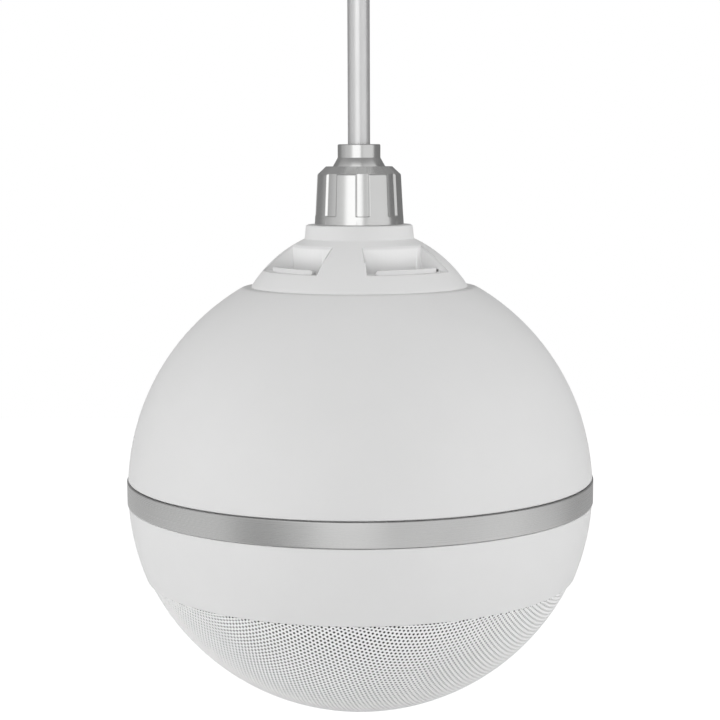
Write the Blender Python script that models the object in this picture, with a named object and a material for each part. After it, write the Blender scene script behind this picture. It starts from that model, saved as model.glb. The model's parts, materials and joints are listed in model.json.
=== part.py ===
# Pendant ball loudspeaker: a ball of two moulded shells with a perforated lower dome, a locking top cap,
# a fluted cable gland, the suspension cable and a ceiling rose. Metres, +Z up.
# The origin is the middle of the rose's flat top face, and the speaker hangs below it.

import math

import bmesh
import bpy
from mathutils import Matrix, Vector

# Whole object
CEILING_DROP = 0.250            # ceiling face to the middle of the ball
SEAT_GAP = 0.0003               # between pieces that touch
HOLE_CLEARANCE = 0.0004         # round a screw, on the radius

# Facets round the turned pieces
ROUND_SIDES = 32
CAP_SIDES = 28
GLAND_SIDES = 16
DRIVER_SIDES = 16
ROSE_SIDES = 16
SCREW_SIDES = 6

# Shells of the ball
BALL_RADIUS = 0.0975
SHELL_WALL = 0.0026
FLANGE_WIDTH = 0.0077           # inward flanges where the shells join
FLANGE_THICKNESS = 0.0030
GASKET_THICKNESS = 0.0012
GASKET_WIDTH = 0.0022
SEAT_MARGIN = 0.00349           # flat left round the cap's foot, out to the ball's surface
SEAT_THICKNESS = 0.0030
LOWER_RIM_DROP = 0.0363         # bottom edge of the lower shell, below the ball's middle
LEDGE_WIDTH = 0.0095
LEDGE_THICKNESS = 0.0030

# Trim ring round the middle
TRIM_HEIGHT = 0.0099
TRIM_THICKNESS = 0.0014
TRIM_PROUD = 0.00033

# Perforated grille dome and the cloth behind it
GRILLE_DEPTH = 0.05485          # from the shoulder's foot to the bottom of the dome
GRILLE_SHEET = 0.0008
GRILLE_SHOULDER_WIDTH = 0.00216
GRILLE_SHOULDER_HEIGHT = 0.0026
GRILLE_HOLE_RINGS = 5
GRILLE_HOLE_RADIUS = 0.0052
CLOTH_THICKNESS = 0.0005
CLOTH_GAP = 0.0012
CLOTH_RISE = 0.0004               # cloth's edge above the foot of the sheet's shoulder
CLOTH_RINGS = 3

# Top cap
CAP_FOOT_RADIUS = 0.04515
CAP_DOME_RISE = 0.01973
CAP_WALL = 0.0024
CAP_COLLAR_RADIUS = 0.02275
CAP_COLLAR_HEIGHT = 0.00577
CAP_COLLAR_TAPER = 0.00055
CAP_TOP_THICKNESS = 0.0025
CAP_EDGE_RADIUS = 0.0012
SPIGOT_HEIGHT = 0.0113

# Windows of the cap, and the ring with the bars that lock it
WINDOW_COUNT = 4
WINDOW_TURN = math.radians(34.6)
WINDOW_BACK_RADIUS = 0.0274
WINDOW_HALF_ANGLE = math.radians(32.2)
WINDOW_SPLAY = math.radians(26.0)
WINDOW_FLOOR_RISE = 0.0067      # window's floor above the cap's foot
WINDOW_WALL = 0.0019
BAR_INSET = 0.0036              # from the floor's outer edge in to the bar
BAR_WIDTH = 0.0026
BAR_HEIGHT = 0.00225
BAR_HALF_ANGLE = math.radians(24.3)
BAR_SINK = 0.0004               # bar's foot below the window's floor
BAR_CLEARANCE = 0.00035
LEG_HALF_ANGLE = math.radians(8.0)
LEG_WIDTH = 0.0018
LOCK_SLOT_LENGTH = 0.0084       # slot at one end of each bar, across the window's corner
LOCK_SLOT_OVERLAP = 0.0020      # part of that length on the back wall's side of the corner
LOCK_SLOT_DEPTH = 0.0032
LOCK_SLOT_HEIGHT = 0.0010
LOCK_RING_THICKNESS = 0.0022
LOCK_RING_WIDTH = 0.00604
LOCK_RING_CLEARANCE = 0.0005    # between the ring or its screws and the cap's inside

# Cable gland
STEM_RADIUS = 0.0090
STEM_TAIL = 0.0118              # from the cap's roof down to the stem's end
STEM_FLANGE_RADIUS = 0.0124
STEM_CONE_RADIUS = 0.01086
STEM_CONE_HEIGHT = 0.0036
STEM_NECK_RADIUS = 0.00885
STEM_NECK_HEIGHT = 0.0055
STEM_EDGE = 0.0004
STEM_STEP = 0.0003              # ledge under the end of the cable's jacket
STEM_CLEARANCE = 0.0004
SEAL_WALL = 0.0023
SEAL_HEIGHT = 0.0049
COLLAR_FOOT_RADIUS = 0.0185
COLLAR_TAPER = 0.00112
COLLAR_SIDE_HEIGHT = 0.0204
COLLAR_CHAMFER_WIDTH = 0.00361
COLLAR_CHAMFER_HEIGHT = 0.0033
COLLAR_TOP_WALL = 0.0040
COLLAR_CLEARANCE = 0.0004
FLUTE_COUNT = 8
FLUTE_TURN = math.radians(4.5)
FLUTE_WIDTH = 0.00556
FLUTE_DEPTH = 0.00075
FLUTE_FOOT = 0.0033             # from the collar's foot up to the flute's end
LOCK_NUT_RADIUS = 0.0150
LOCK_NUT_HEIGHT = 0.0040
STOP_RADIUS = 0.0070
STOP_HEIGHT = 0.0087

# Cable
CABLE_RADIUS = 0.0046
CABLE_CLEARANCE = 0.00035
CABLE_INSET = 0.0294            # jacketed length inside the gland
CORE_RADIUS = 0.0012
LEAD_RADIUS = 0.0009
LEAD_CLEARANCE = 0.0003

# Baffle and driver
BAFFLE_THICKNESS = 0.0030
BAFFLE_CLEARANCE = 0.0005
BAFFLE_MARGIN = 0.0207          # baffle left round the driver
DRIVER_FLANGE_WIDTH = 0.0087    # flange that lies on the baffle
DRIVER_FLANGE_THICKNESS = 0.0015
DRIVER_GASKET_WIDTH = 0.0025
DRIVER_GASKET_THICKNESS = 0.0010
BASKET_DEPTH = 0.0350
BASKET_TOP_RADIUS = 0.0350
BASKET_HOLE_RADIUS = 0.0170
BASKET_WALL = 0.0014
BASKET_WINDOWS = 4
BASKET_RIB_WIDTH = 0.0100
SURROUND_WIDTH = 0.0123
SURROUND_LAND = 0.0036
SURROUND_SHEET = 0.0006
CONE_SHEET = 0.0006
CONE_LAND = 0.0035
CONE_NECK_DROP = 0.0106         # below the basket's top
FORMER_RADIUS = 0.0131
FORMER_WALL = 0.0005
FORMER_HEIGHT = 0.0225
COIL_THICKNESS = 0.00055
COIL_HEIGHT = 0.0080
DUST_CAP_RADIUS = 0.0160
DUST_CAP_DEPTH = 0.0055
SPIDER_SHEET = 0.0006
SPIDER_WAVE = 0.0012
MAGNET_RADIUS = 0.0380
MAGNET_HOLE_RADIUS = 0.0170
MAGNET_THICKNESS = 0.0150
FRONT_PLATE_RADIUS = 0.0340
FRONT_PLATE_THICKNESS = 0.0050
MOTOR_GAP = 0.0004              # between the moving coil and the steel round it
YOKE_THICKNESS = 0.0050

# Line transformer and wiring
CORE_WIDTH = 0.0410
CORE_DEPTH = 0.0180
WINDING_OVERHANG = 0.0064
STRAP_THICKNESS = 0.0012
STRAP_DEPTH = 0.0120
STRAP_FOOT = 0.0085
BLOCK_WIDTH = 0.0200
BLOCK_DEPTH = 0.0100
BLOCK_HEIGHT = 0.0120
BLOCK_BORE_SPREAD = 0.0046
BLOCK_BORE_HEIGHT = 0.0052
BLOCK_BORE_RADIUS = 0.0014
TAG_WIDTH = 0.0140
TAG_THICKNESS = 0.0030
TAG_HEIGHT = 0.0110
TAG_BORE_SPREAD = 0.0043
LEAD_TAIL = 0.0020              # straight below the wire stop
LEAD_BERTH = 0.0070             # from the transformer and the magnet out to the supply leads
LEAD_SWING = 0.0032             # past the terminal block, before the leads turn in
LEAD_DROP = 0.0140              # over which they turn in
LEAD_ENTRY = 0.0035             # into the block
SUPPLY_SPACING = 0.0100         # between the points of the leads' curves
DRIVER_SPACING = 0.0030

# Screws
SCREW_RADIUS = 0.0015
SCREW_HEAD_RADIUS = 0.0028
SCREW_HEAD_HEIGHT = 0.0018
SHELL_SCREW_COUNT = 3
BAFFLE_SCREW_COUNT = 3
DRIVER_SCREW_COUNT = 4

# Ceiling rose
ROSE_RADIUS = 0.0440
ROSE_DEPTH = 0.0275
ROSE_WALL = 0.0020
ROSE_SIDE_HEIGHT = 0.0120
PLATE_CLEARANCE = 0.0008
PLATE_THICKNESS = 0.0025
PLATE_HOLE_RADIUS = 0.0024
PLATE_HOLE_SPREAD = 0.0280
WIRE_HOLE_RADIUS = 0.0060
WIRE_HOLE_OFFSET = 0.0220
LUG_WIDTH = 0.0120
LUG_THICKNESS = 0.0019
GRIP_THREAD_WALL = 0.0017
GRIP_FLANGE_RADIUS = 0.0100
GRIP_FLANGE_HEIGHT = 0.0062
GRIP_TIP_WALL = 0.0019
GRIP_HEIGHT = 0.0122
GRIP_THREAD_HEIGHT = 0.0060
GRIP_NUT_RADIUS = 0.0105
GRIP_NUT_HEIGHT = 0.0032
CLAMP_WALL = 0.0036
CLAMP_HEIGHT = 0.0080
CABLE_TOP_TAIL = 0.0017


def sphere_level(radius, distance):
    return math.sqrt(radius ** 2 - distance ** 2)


# Radii that follow from those sizes
INNER_RADIUS = BALL_RADIUS - SHELL_WALL
TRIM_OUTER_RADIUS = BALL_RADIUS + TRIM_PROUD
TRIM_INNER_RADIUS = TRIM_OUTER_RADIUS - TRIM_THICKNESS
REBATE_RADIUS = TRIM_INNER_RADIUS - SEAT_GAP
GASKET_INNER_RADIUS = REBATE_RADIUS - SEAT_GAP - GASKET_WIDTH
FLANGE_INNER_RADIUS = INNER_RADIUS - FLANGE_WIDTH
SHELL_SCREW_CIRCLE = (FLANGE_INNER_RADIUS + GASKET_INNER_RADIUS) / 2
LIP_RADIUS = CAP_FOOT_RADIUS + SEAT_MARGIN
RIM_RADIUS = sphere_level(BALL_RADIUS, LOWER_RIM_DROP)
LEDGE_INNER_RADIUS = RIM_RADIUS - LEDGE_WIDTH
SHOULDER_RADIUS = RIM_RADIUS - GRILLE_SHOULDER_WIDTH
GRILLE_RADIUS = (SHOULDER_RADIUS ** 2 + GRILLE_DEPTH ** 2) / (2 * GRILLE_DEPTH)
BAFFLE_RADIUS = FLANGE_INNER_RADIUS - BAFFLE_CLEARANCE
BAFFLE_SCREW_CIRCLE = (LEDGE_INNER_RADIUS + BAFFLE_RADIUS) / 2
DRIVER_FLANGE_RADIUS = BAFFLE_RADIUS - BAFFLE_MARGIN
DRIVER_OPENING_RADIUS = DRIVER_FLANGE_RADIUS - DRIVER_FLANGE_WIDTH
DRIVER_SCREW_CIRCLE = (DRIVER_OPENING_RADIUS + DRIVER_GASKET_WIDTH + DRIVER_FLANGE_RADIUS) / 2
BASKET_INNER_RADIUS = DRIVER_OPENING_RADIUS - SURROUND_LAND - SEAT_GAP
CONE_EDGE_RADIUS = DRIVER_OPENING_RADIUS - SURROUND_WIDTH
SPIDER_RADIUS = BASKET_TOP_RADIUS - BASKET_WALL - 2 * SEAT_GAP
POLE_RADIUS = FORMER_RADIUS - FORMER_WALL - MOTOR_GAP
BLOCK_DISTANCE = (DRIVER_FLANGE_RADIUS + BAFFLE_RADIUS) / 2
TAG_DISTANCE = (DRIVER_OPENING_RADIUS + DRIVER_FLANGE_RADIUS) / 2
COLLAR_TOP_RADIUS = COLLAR_FOOT_RADIUS - COLLAR_TAPER
CABLE_BORE = CABLE_RADIUS + CABLE_CLEARANCE
CORE_BORE = CABLE_RADIUS - STEM_STEP
LEAD_OFFSET = CORE_BORE - LEAD_RADIUS - LEAD_CLEARANCE
SEAL_RADIUS = CABLE_BORE + SEAL_WALL
GRIP_THREAD_RADIUS = CABLE_BORE + GRIP_THREAD_WALL

# Heights above the ball's middle that follow from them
TRIM_EDGE = TRIM_HEIGHT / 2 + SEAT_GAP
JOINT_FACE = GASKET_THICKNESS / 2 + SEAT_GAP
FLANGE_FACE = JOINT_FACE + FLANGE_THICKNESS
SEAT_LEVEL = sphere_level(BALL_RADIUS, LIP_RADIUS)
SEAT_UNDERSIDE = SEAT_LEVEL - SEAT_THICKNESS
CAP_BASE = SEAT_LEVEL + SEAT_GAP
DOME_TOP = CAP_BASE + CAP_DOME_RISE
DOME_MIDDLE = ((CAP_COLLAR_RADIUS ** 2 + DOME_TOP ** 2 - CAP_FOOT_RADIUS ** 2 - CAP_BASE ** 2)
               / (2 * CAP_DOME_RISE))
DOME_RADIUS = math.hypot(CAP_FOOT_RADIUS, CAP_BASE - DOME_MIDDLE)
CAP_TOP = DOME_TOP + CAP_COLLAR_HEIGHT
CAP_ROOF = CAP_TOP - CAP_TOP_THICKNESS
SPIGOT_TOP = CAP_TOP + SPIGOT_HEIGHT
WINDOW_FLOOR = CAP_BASE + WINDOW_FLOOR_RISE
BAR_RADIUS = sphere_level(DOME_RADIUS, WINDOW_FLOOR - DOME_MIDDLE) - BAR_INSET
BAR_FOOT = WINDOW_FLOOR - BAR_SINK
LOCK_RING_TOP = CAP_BASE + LOCK_RING_THICKNESS
LOCK_HEAD_TOP = LOCK_RING_TOP + SEAT_GAP + SCREW_HEAD_HEIGHT
LOCK_RING_RADIUS = (sphere_level(DOME_RADIUS - CAP_WALL, LOCK_HEAD_TOP - DOME_MIDDLE)
                    * math.cos(2 * math.pi / CAP_SIDES) - LOCK_RING_CLEARANCE)
LOCK_SCREW_CIRCLE = LOCK_RING_RADIUS - SCREW_HEAD_RADIUS
TOP_HOLE_RADIUS = LOCK_RING_RADIUS - LOCK_RING_WIDTH
COLLAR_FOOT = CAP_TOP + SEAT_GAP
COLLAR_SIDE_TOP = COLLAR_FOOT + COLLAR_SIDE_HEIGHT
COLLAR_TOP = COLLAR_SIDE_TOP + COLLAR_CHAMFER_HEIGHT
COLLAR_ROOF = COLLAR_TOP - COLLAR_TOP_WALL
NECK_FOOT = COLLAR_TOP + STEM_CONE_HEIGHT
NECK_TOP = NECK_FOOT + STEM_NECK_HEIGHT
STEM_STEP_LEVEL = NECK_TOP - CABLE_INSET
STEM_END = CAP_ROOF - STEM_TAIL
STOP_TOP = STEM_END - SEAT_GAP
STOP_FOOT = STOP_TOP - STOP_HEIGHT
LEDGE_TOP = LEDGE_THICKNESS - LOWER_RIM_DROP
GRILLE_RIM = -LOWER_RIM_DROP - SEAT_GAP
SHOULDER_FOOT = GRILLE_RIM - GRILLE_SHOULDER_HEIGHT
GRILLE_MIDDLE = SHOULDER_FOOT - GRILLE_DEPTH + GRILLE_RADIUS
BAFFLE_BASE = LEDGE_TOP + SEAT_GAP
BAFFLE_TOP = BAFFLE_BASE + BAFFLE_THICKNESS
BASKET_BASE = BAFFLE_TOP + DRIVER_GASKET_THICKNESS + 2 * SEAT_GAP
DRIVER_FLANGE_TOP = BASKET_BASE + DRIVER_FLANGE_THICKNESS
BASKET_TOP = BASKET_BASE + BASKET_DEPTH
FRONT_PLATE_BASE = BASKET_TOP + SEAT_GAP
FRONT_PLATE_TOP = FRONT_PLATE_BASE + FRONT_PLATE_THICKNESS
MAGNET_BASE = FRONT_PLATE_TOP + SEAT_GAP
MAGNET_TOP = MAGNET_BASE + MAGNET_THICKNESS
YOKE_BASE = MAGNET_TOP + SEAT_GAP
YOKE_TOP = YOKE_BASE + YOKE_THICKNESS
CONE_NECK = BASKET_TOP - CONE_NECK_DROP
CORE_HEIGHT = (STOP_FOOT - YOKE_TOP) * 5 / 8
CORE_LIMB = CORE_HEIGHT / 5

# Depths below the ceiling that the rose's pieces share
LUG_END = ROSE_SIDE_HEIGHT - ROSE_WALL / 2
COVER_SCREW_DROP = (PLATE_THICKNESS + LUG_END) / 2
GRIP_FLANGE_TOP = -ROSE_DEPTH - SEAT_GAP
CLAMP_BASE = GRIP_FLANGE_TOP + GRIP_THREAD_HEIGHT + SEAT_GAP


# Colours and finishes

def finish(name, colour, roughness, metallic=0.0):
    paint = bpy.data.materials.new(name)
    paint.use_nodes = True
    shader = paint.node_tree.nodes["Principled BSDF"]
    shader.inputs["Base Color"].default_value = (*colour, 1.0)
    shader.inputs["Roughness"].default_value = roughness
    shader.inputs["Metallic"].default_value = metallic
    paint.diffuse_color = (*colour, 1.0)
    return paint


def finish_for(name, colour, roughness, metallic=0.0):
    return lambda piece: finish(piece + "_" + name, colour, roughness, metallic)


WHITE_PLASTIC = finish_for("white_plastic", (0.72, 0.72, 0.71), 0.45)
WHITE_PAINT = finish_for("white_paint", (0.74, 0.74, 0.73), 0.40)
SILVER = finish_for("silver", (0.62, 0.62, 0.61), 0.32, 1.0)
CABLE_GREY = finish_for("cable_grey", (0.52, 0.52, 0.52), 0.40)
RUBBER = finish_for("rubber", (0.03, 0.03, 0.03), 0.70)
BLACK_CLOTH = finish_for("black_cloth", (0.015, 0.015, 0.015), 0.95)
STEEL = finish_for("steel", (0.45, 0.45, 0.46), 0.35, 1.0)
BLACK_PAPER = finish_for("black_paper", (0.03, 0.03, 0.03), 0.85)
FERRITE = finish_for("ferrite", (0.06, 0.06, 0.06), 0.60)
COPPER = finish_for("copper", (0.70, 0.33, 0.18), 0.35, 1.0)
BOARD = finish_for("board", (0.30, 0.22, 0.12), 0.80)
NYLON = finish_for("nylon", (0.80, 0.80, 0.76), 0.50)
RED_JACKET = finish_for("red_jacket", (0.45, 0.03, 0.03), 0.45)
BLACK_JACKET = finish_for("black_jacket", (0.02, 0.02, 0.02), 0.45)


# Building blocks

def clear_objects():
    for thing in list(bpy.data.objects):
        bpy.data.objects.remove(thing, do_unlink=True)


def group(name, height):
    empty = bpy.data.objects.new(name, None)
    empty.location = (0.0, 0.0, height)
    bpy.context.scene.collection.objects.link(empty)
    return empty


def place(name, form, coat, parent, spot=(0.0, 0.0, 0.0), turn=0.0):
    bmesh.ops.recalc_face_normals(form, faces=form.faces)
    mesh = bpy.data.meshes.new(name)
    form.to_mesh(mesh)
    form.free()
    mesh.shade_smooth()
    mesh.set_sharp_from_angle(angle=math.radians(32))
    piece = bpy.data.objects.new(name, mesh)
    if coat:
        mesh.materials.append(coat(name))
    piece.parent = parent
    piece.location = spot
    piece.rotation_euler = (0.0, 0.0, turn)
    bpy.context.scene.collection.objects.link(piece)
    return piece


def tool(name, form, parent, spot=(0.0, 0.0, 0.0), turn=0.0):
    cutter = place(name, form, None, parent, spot, turn)
    cutter.hide_render = True
    cutter.display_type = "WIRE"
    return cutter


def combine(piece, other, operation="DIFFERENCE"):
    step = piece.modifiers.new(operation.lower() + "_" + other.name, "BOOLEAN")
    step.operation = operation
    step.solver = "EXACT"
    step.object = other


def turned(outline, sides):
    form = bmesh.new()
    points = [form.verts.new((radius, 0.0, height)) for radius, height in outline]
    for first, second in zip(points, points[1:] + points[:1]):
        if first.co.x > 0.0 or second.co.x > 0.0:
            form.edges.new((first, second))
    bmesh.ops.spin(form, geom=form.verts[:] + form.edges[:], cent=(0, 0, 0), axis=(0, 0, 1),
                   angle=2 * math.pi, steps=sides, use_merge=True)
    bmesh.ops.remove_doubles(form, verts=form.verts, dist=1e-6)
    return form


def ring(inner, outer, low, high, sides):
    return turned([(inner, low), (outer, low), (outer, high), (inner, high)], sides)


def slab(corners, low, high):
    form = bmesh.new()
    base = form.faces.new([form.verts.new((x, y, low)) for x, y in corners])
    raised = bmesh.ops.extrude_face_region(form, geom=[base])
    lifted = [item for item in raised["geom"] if isinstance(item, bmesh.types.BMVert)]
    bmesh.ops.translate(form, verts=lifted, vec=(0.0, 0.0, high - low))
    return form


def block(size, middle):
    form = bmesh.new()
    bmesh.ops.create_cube(form, size=1.0, matrix=Matrix.Translation(middle) @ Matrix.Diagonal((*size, 1.0)))
    return form


def rod(radius, low, high, sides=SCREW_SIDES):
    return turned([(0.0, high), (radius, high), (radius, low), (0.0, low)], sides)


def lying(form, spot):
    turn = Matrix.Rotation(math.radians(90), 4, "X")
    bmesh.ops.transform(form, verts=form.verts, matrix=Matrix.Translation(spot) @ turn)
    return form


def sphere_arc(radius, middle, first, last, steps):
    start = math.asin((first - middle) / radius)
    sweep = math.asin((last - middle) / radius) - start
    angles = [start + sweep * step / steps for step in range(steps + 1)]
    return [(radius * math.cos(angle), middle + radius * math.sin(angle)) for angle in angles]


def arc_points(radius, half_angle, steps):
    angles = [-half_angle + 2 * half_angle * step / steps for step in range(steps + 1)]
    return [(radius * math.sin(angle), -radius * math.cos(angle)) for angle in angles]


def arc_prism(inner, outer, half_angle, low, high, steps=6):
    corners = arc_points(outer, half_angle, steps) + arc_points(inner, half_angle, steps)[::-1]
    return slab(corners, low, high)


def screw(name, parent, spot, length, turn=Matrix.Identity(4)):
    form = turned([(0.0, SCREW_HEAD_HEIGHT), (SCREW_HEAD_RADIUS, SCREW_HEAD_HEIGHT),
                   (SCREW_HEAD_RADIUS, 0.0), (SCREW_RADIUS, 0.0), (SCREW_RADIUS, -length),
                   (0.0, -length)], SCREW_SIDES)
    bmesh.ops.transform(form, verts=form.verts, matrix=turn)
    return place(name, form, STEEL, parent, spot)


def circle_spots(count, radius, start=0.0):
    angles = [start + 2 * math.pi * step / count for step in range(count)]
    return [(radius * math.sin(angle), -radius * math.cos(angle)) for angle in angles]


def drill(piece, name, parent, spots, radius, low, high):
    for number, (x, y) in enumerate(spots, 1):
        combine(piece, tool(f"{name}_{number}", rod(radius, low, high), parent, (x, y, 0.0)))


def drill_for_screws(piece, name, parent, spots, low, high):
    drill(piece, name, parent, spots, SCREW_RADIUS + HOLE_CLEARANCE, low - SCREW_HEAD_HEIGHT,
          high + SCREW_HEAD_HEIGHT)


def tube(name, points, radius, coat, parent, resolution):
    line = bpy.data.curves.new(name, "CURVE")
    line.dimensions = "3D"
    line.bevel_depth = radius
    line.bevel_resolution = resolution
    line.use_fill_caps = True
    line.render_resolution_u = 0
    path = line.splines.new("POLY")
    path.points.add(len(points) - 1)
    for knot, point in zip(path.points, points):
        knot.co = (*point, 1.0)
    line.materials.append(coat(name))
    piece = bpy.data.objects.new(name, line)
    piece.parent = parent
    bpy.context.scene.collection.objects.link(piece)
    return piece


def smooth_route(stops, spacing):
    knots = [Vector(stop) for stop in stops]
    knots = [2 * knots[0] - knots[1]] + knots + [2 * knots[-1] - knots[-2]]
    route = []
    for before, start, end, after in zip(knots, knots[1:], knots[2:], knots[3:]):
        steps = max(1, round((end - start).length / spacing))
        for step in range(steps):
            share = step / steps
            bend = (2 * start + (end - before) * share
                    + (2 * before - 5 * start + 4 * end - after) * share ** 2
                    + (3 * start - before - 3 * end + after) * share ** 3)
            route.append(bend / 2)
    return route + [knots[-2]]


# Ball

def shell_screw_spots():
    return circle_spots(SHELL_SCREW_COUNT, SHELL_SCREW_CIRCLE, math.pi / SHELL_SCREW_COUNT)


def baffle_screw_spots():
    return circle_spots(BAFFLE_SCREW_COUNT, BAFFLE_SCREW_CIRCLE)


def lock_screw_spots():
    return circle_spots(WINDOW_COUNT, LOCK_SCREW_CIRCLE, WINDOW_TURN + math.pi / WINDOW_COUNT)


def upper_shell(ball):
    outside = sphere_arc(BALL_RADIUS, 0.0, TRIM_EDGE, SEAT_LEVEL, 7)
    inside = sphere_arc(INNER_RADIUS, 0.0, SEAT_UNDERSIDE, FLANGE_FACE, 3)
    outline = ([(REBATE_RADIUS, JOINT_FACE), (REBATE_RADIUS, TRIM_EDGE)] + outside
               + [(TOP_HOLE_RADIUS, SEAT_LEVEL), (TOP_HOLE_RADIUS, SEAT_UNDERSIDE)]
               + inside + [(FLANGE_INNER_RADIUS, FLANGE_FACE), (FLANGE_INNER_RADIUS, JOINT_FACE)])
    shell = place("upper_shell", turned(outline, ROUND_SIDES), WHITE_PLASTIC, ball)
    drill_for_screws(shell, "cut_upper_flange", ball, shell_screw_spots(), JOINT_FACE, FLANGE_FACE)
    drill_for_screws(shell, "cut_seat", ball, lock_screw_spots(), SEAT_UNDERSIDE, SEAT_LEVEL)


def lower_shell(ball):
    outside = sphere_arc(BALL_RADIUS, 0.0, -LOWER_RIM_DROP, -TRIM_EDGE, 3)
    inside = sphere_arc(INNER_RADIUS, 0.0, -FLANGE_FACE, LEDGE_TOP, 2)
    outline = (outside + [(REBATE_RADIUS, -TRIM_EDGE), (REBATE_RADIUS, -JOINT_FACE),
                          (FLANGE_INNER_RADIUS, -JOINT_FACE), (FLANGE_INNER_RADIUS, -FLANGE_FACE)]
               + inside + [(LEDGE_INNER_RADIUS, LEDGE_TOP), (LEDGE_INNER_RADIUS, -LOWER_RIM_DROP)])
    shell = place("lower_shell", turned(outline, ROUND_SIDES), WHITE_PLASTIC, ball)
    drill_for_screws(shell, "cut_lower_flange", ball, shell_screw_spots(), -FLANGE_FACE, -JOINT_FACE)
    drill_for_screws(shell, "cut_ledge", ball, baffle_screw_spots(), -LOWER_RIM_DROP, LEDGE_TOP)


def joint_of_the_shells(ball):
    trim_edge = TRIM_HEIGHT / 2
    place("trim_ring", ring(TRIM_INNER_RADIUS, TRIM_OUTER_RADIUS, -trim_edge, trim_edge, ROUND_SIDES),
          SILVER, ball)
    gasket_face = GASKET_THICKNESS / 2
    place("shell_gasket", ring(GASKET_INNER_RADIUS, GASKET_INNER_RADIUS + GASKET_WIDTH, -gasket_face,
                               gasket_face, ROUND_SIDES), RUBBER, ball)
    upside_down = Matrix.Rotation(math.pi, 4, "X")
    for number, (x, y) in enumerate(shell_screw_spots(), 1):
        screw(f"shell_screw_{number}", ball, (x, y, -FLANGE_FACE - SEAT_GAP), 2 * FLANGE_FACE, upside_down)


# Grille: one sheet drawn to a dome, with rings of holes, a shoulder and a rim turned inward

def ring_lattice(rings):
    form = bmesh.new()
    rows = [[form.verts.new((0.0, 0.0, 0.0))]]
    for row in range(1, rings + 1):
        angles = [2 * math.pi * step / (6 * row) for step in range(6 * row)]
        rows.append([form.verts.new((row * math.sin(turn), -row * math.cos(turn), 0.0)) for turn in angles])
    for row in range(1, rings + 1):
        outer, inner = rows[row], rows[row - 1]
        for side in range(6):
            for step in range(row):
                near = outer[side * row + step]
                far = outer[(side * row + step + 1) % len(outer)]
                foot = inner[(side * (row - 1) + step) % len(inner)]
                form.faces.new((near, far, foot))
                if step < row - 1:
                    form.faces.new((far, inner[(side * (row - 1) + step + 1) % len(inner)], foot))
    return form, set(rows[-1])


def sheet_dome(name, rings, radius, edge_level, hole_radius, thickness, coat, ball, rim=()):
    form, edge = ring_lattice(rings)
    pitch = math.acos((GRILLE_MIDDLE - edge_level) / radius) / rings
    if hole_radius:
        inside = [vert for vert in form.verts if vert not in edge]
        bored = bmesh.ops.bevel(form, geom=inside, offset=hole_radius / radius / pitch, affect="VERTICES",
                                offset_type="OFFSET", segments=1)
        bmesh.ops.delete(form, geom=bored["faces"], context="FACES_ONLY")
    for vert in form.verts:
        turn = vert.co.length * pitch
        across = Vector(vert.co).normalized() * radius * math.sin(turn)
        vert.co = (across.x, across.y, GRILLE_MIDDLE - radius * math.cos(turn))
    border = [line for line in form.edges if edge.issuperset(line.verts)]
    for rim_radius, level in rim:
        grown = bmesh.ops.extrude_edge_only(form, edges=border)["geom"]
        fresh = {item for item in grown if isinstance(item, bmesh.types.BMVert)}
        border = [item for item in grown if isinstance(item, bmesh.types.BMEdge)
                  and fresh.issuperset(item.verts)]
        for vert in fresh:
            outward = Vector((vert.co.x, vert.co.y, 0.0)).normalized() * rim_radius
            vert.co = (outward.x, outward.y, level)
    sheet = place(name, form, coat, ball)
    wall = sheet.modifiers.new("sheet", "SOLIDIFY")
    wall.thickness = thickness
    wall.offset = -1.0
    wall.use_even_offset = True
    return sheet


def grille(ball):
    rim = [(RIM_RADIUS, GRILLE_RIM), (LEDGE_INNER_RADIUS + SEAT_GAP, GRILLE_RIM)]
    sheet = sheet_dome("grille", GRILLE_HOLE_RINGS + 1, GRILLE_RADIUS, SHOULDER_FOOT, GRILLE_HOLE_RADIUS,
                       GRILLE_SHEET, WHITE_PAINT, ball, rim)
    drill_for_screws(sheet, "cut_grille_rim", ball, baffle_screw_spots(), GRILLE_RIM - GRILLE_SHEET,
                     GRILLE_RIM)


def grille_cloth(ball):
    radius = GRILLE_RADIUS - GRILLE_SHEET - CLOTH_GAP
    edge = SHOULDER_FOOT + CLOTH_RISE
    sheet_dome("grille_cloth", CLOTH_RINGS, radius, edge, 0.0, CLOTH_THICKNESS, BLACK_CLOTH, ball)


# Top cap with its windows, and the ring that locks it

def window_turns():
    return [WINDOW_TURN + 2 * math.pi * number / WINDOW_COUNT for number in range(WINDOW_COUNT)]


def window_corner():
    return (WINDOW_BACK_RADIUS * math.sin(WINDOW_HALF_ANGLE), WINDOW_BACK_RADIUS * math.cos(WINDOW_HALF_ANGLE))


def window_outline(wall=0.0):
    side, depth = window_corner()
    side += wall / math.cos(WINDOW_SPLAY)
    back_radius = WINDOW_BACK_RADIUS - wall
    back_side = side - wall * math.tan(WINDOW_SPLAY)
    back = arc_points(back_radius, math.asin(back_side / back_radius), 6)
    mouth = side + (CAP_FOOT_RADIUS - depth) * math.tan(WINDOW_SPLAY)
    return [(-mouth, -CAP_FOOT_RADIUS)] + back + [(mouth, -CAP_FOOT_RADIUS)]


def cap_hollow(ball):
    collar = CAP_COLLAR_RADIUS - CAP_COLLAR_TAPER - CAP_WALL
    radius = DOME_RADIUS - CAP_WALL
    dome = sphere_arc(radius, DOME_MIDDLE, CAP_BASE, DOME_MIDDLE + sphere_level(radius, collar), 3)
    below = CAP_BASE - CAP_WALL
    outline = [(0.0, below), (dome[0][0], below)] + dome + [(collar, CAP_ROOF), (0.0, CAP_ROOF)]
    hollow = tool("cut_cap_hollow", turned(outline, CAP_SIDES // 2), ball)
    for number, turn in enumerate(window_turns(), 1):
        pocket = slab(window_outline(WINDOW_WALL), WINDOW_FLOOR - WINDOW_WALL, CAP_TOP)
        combine(hollow, tool(f"keep_window_wall_{number}", pocket, ball, turn=turn))
    return hollow


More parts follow.
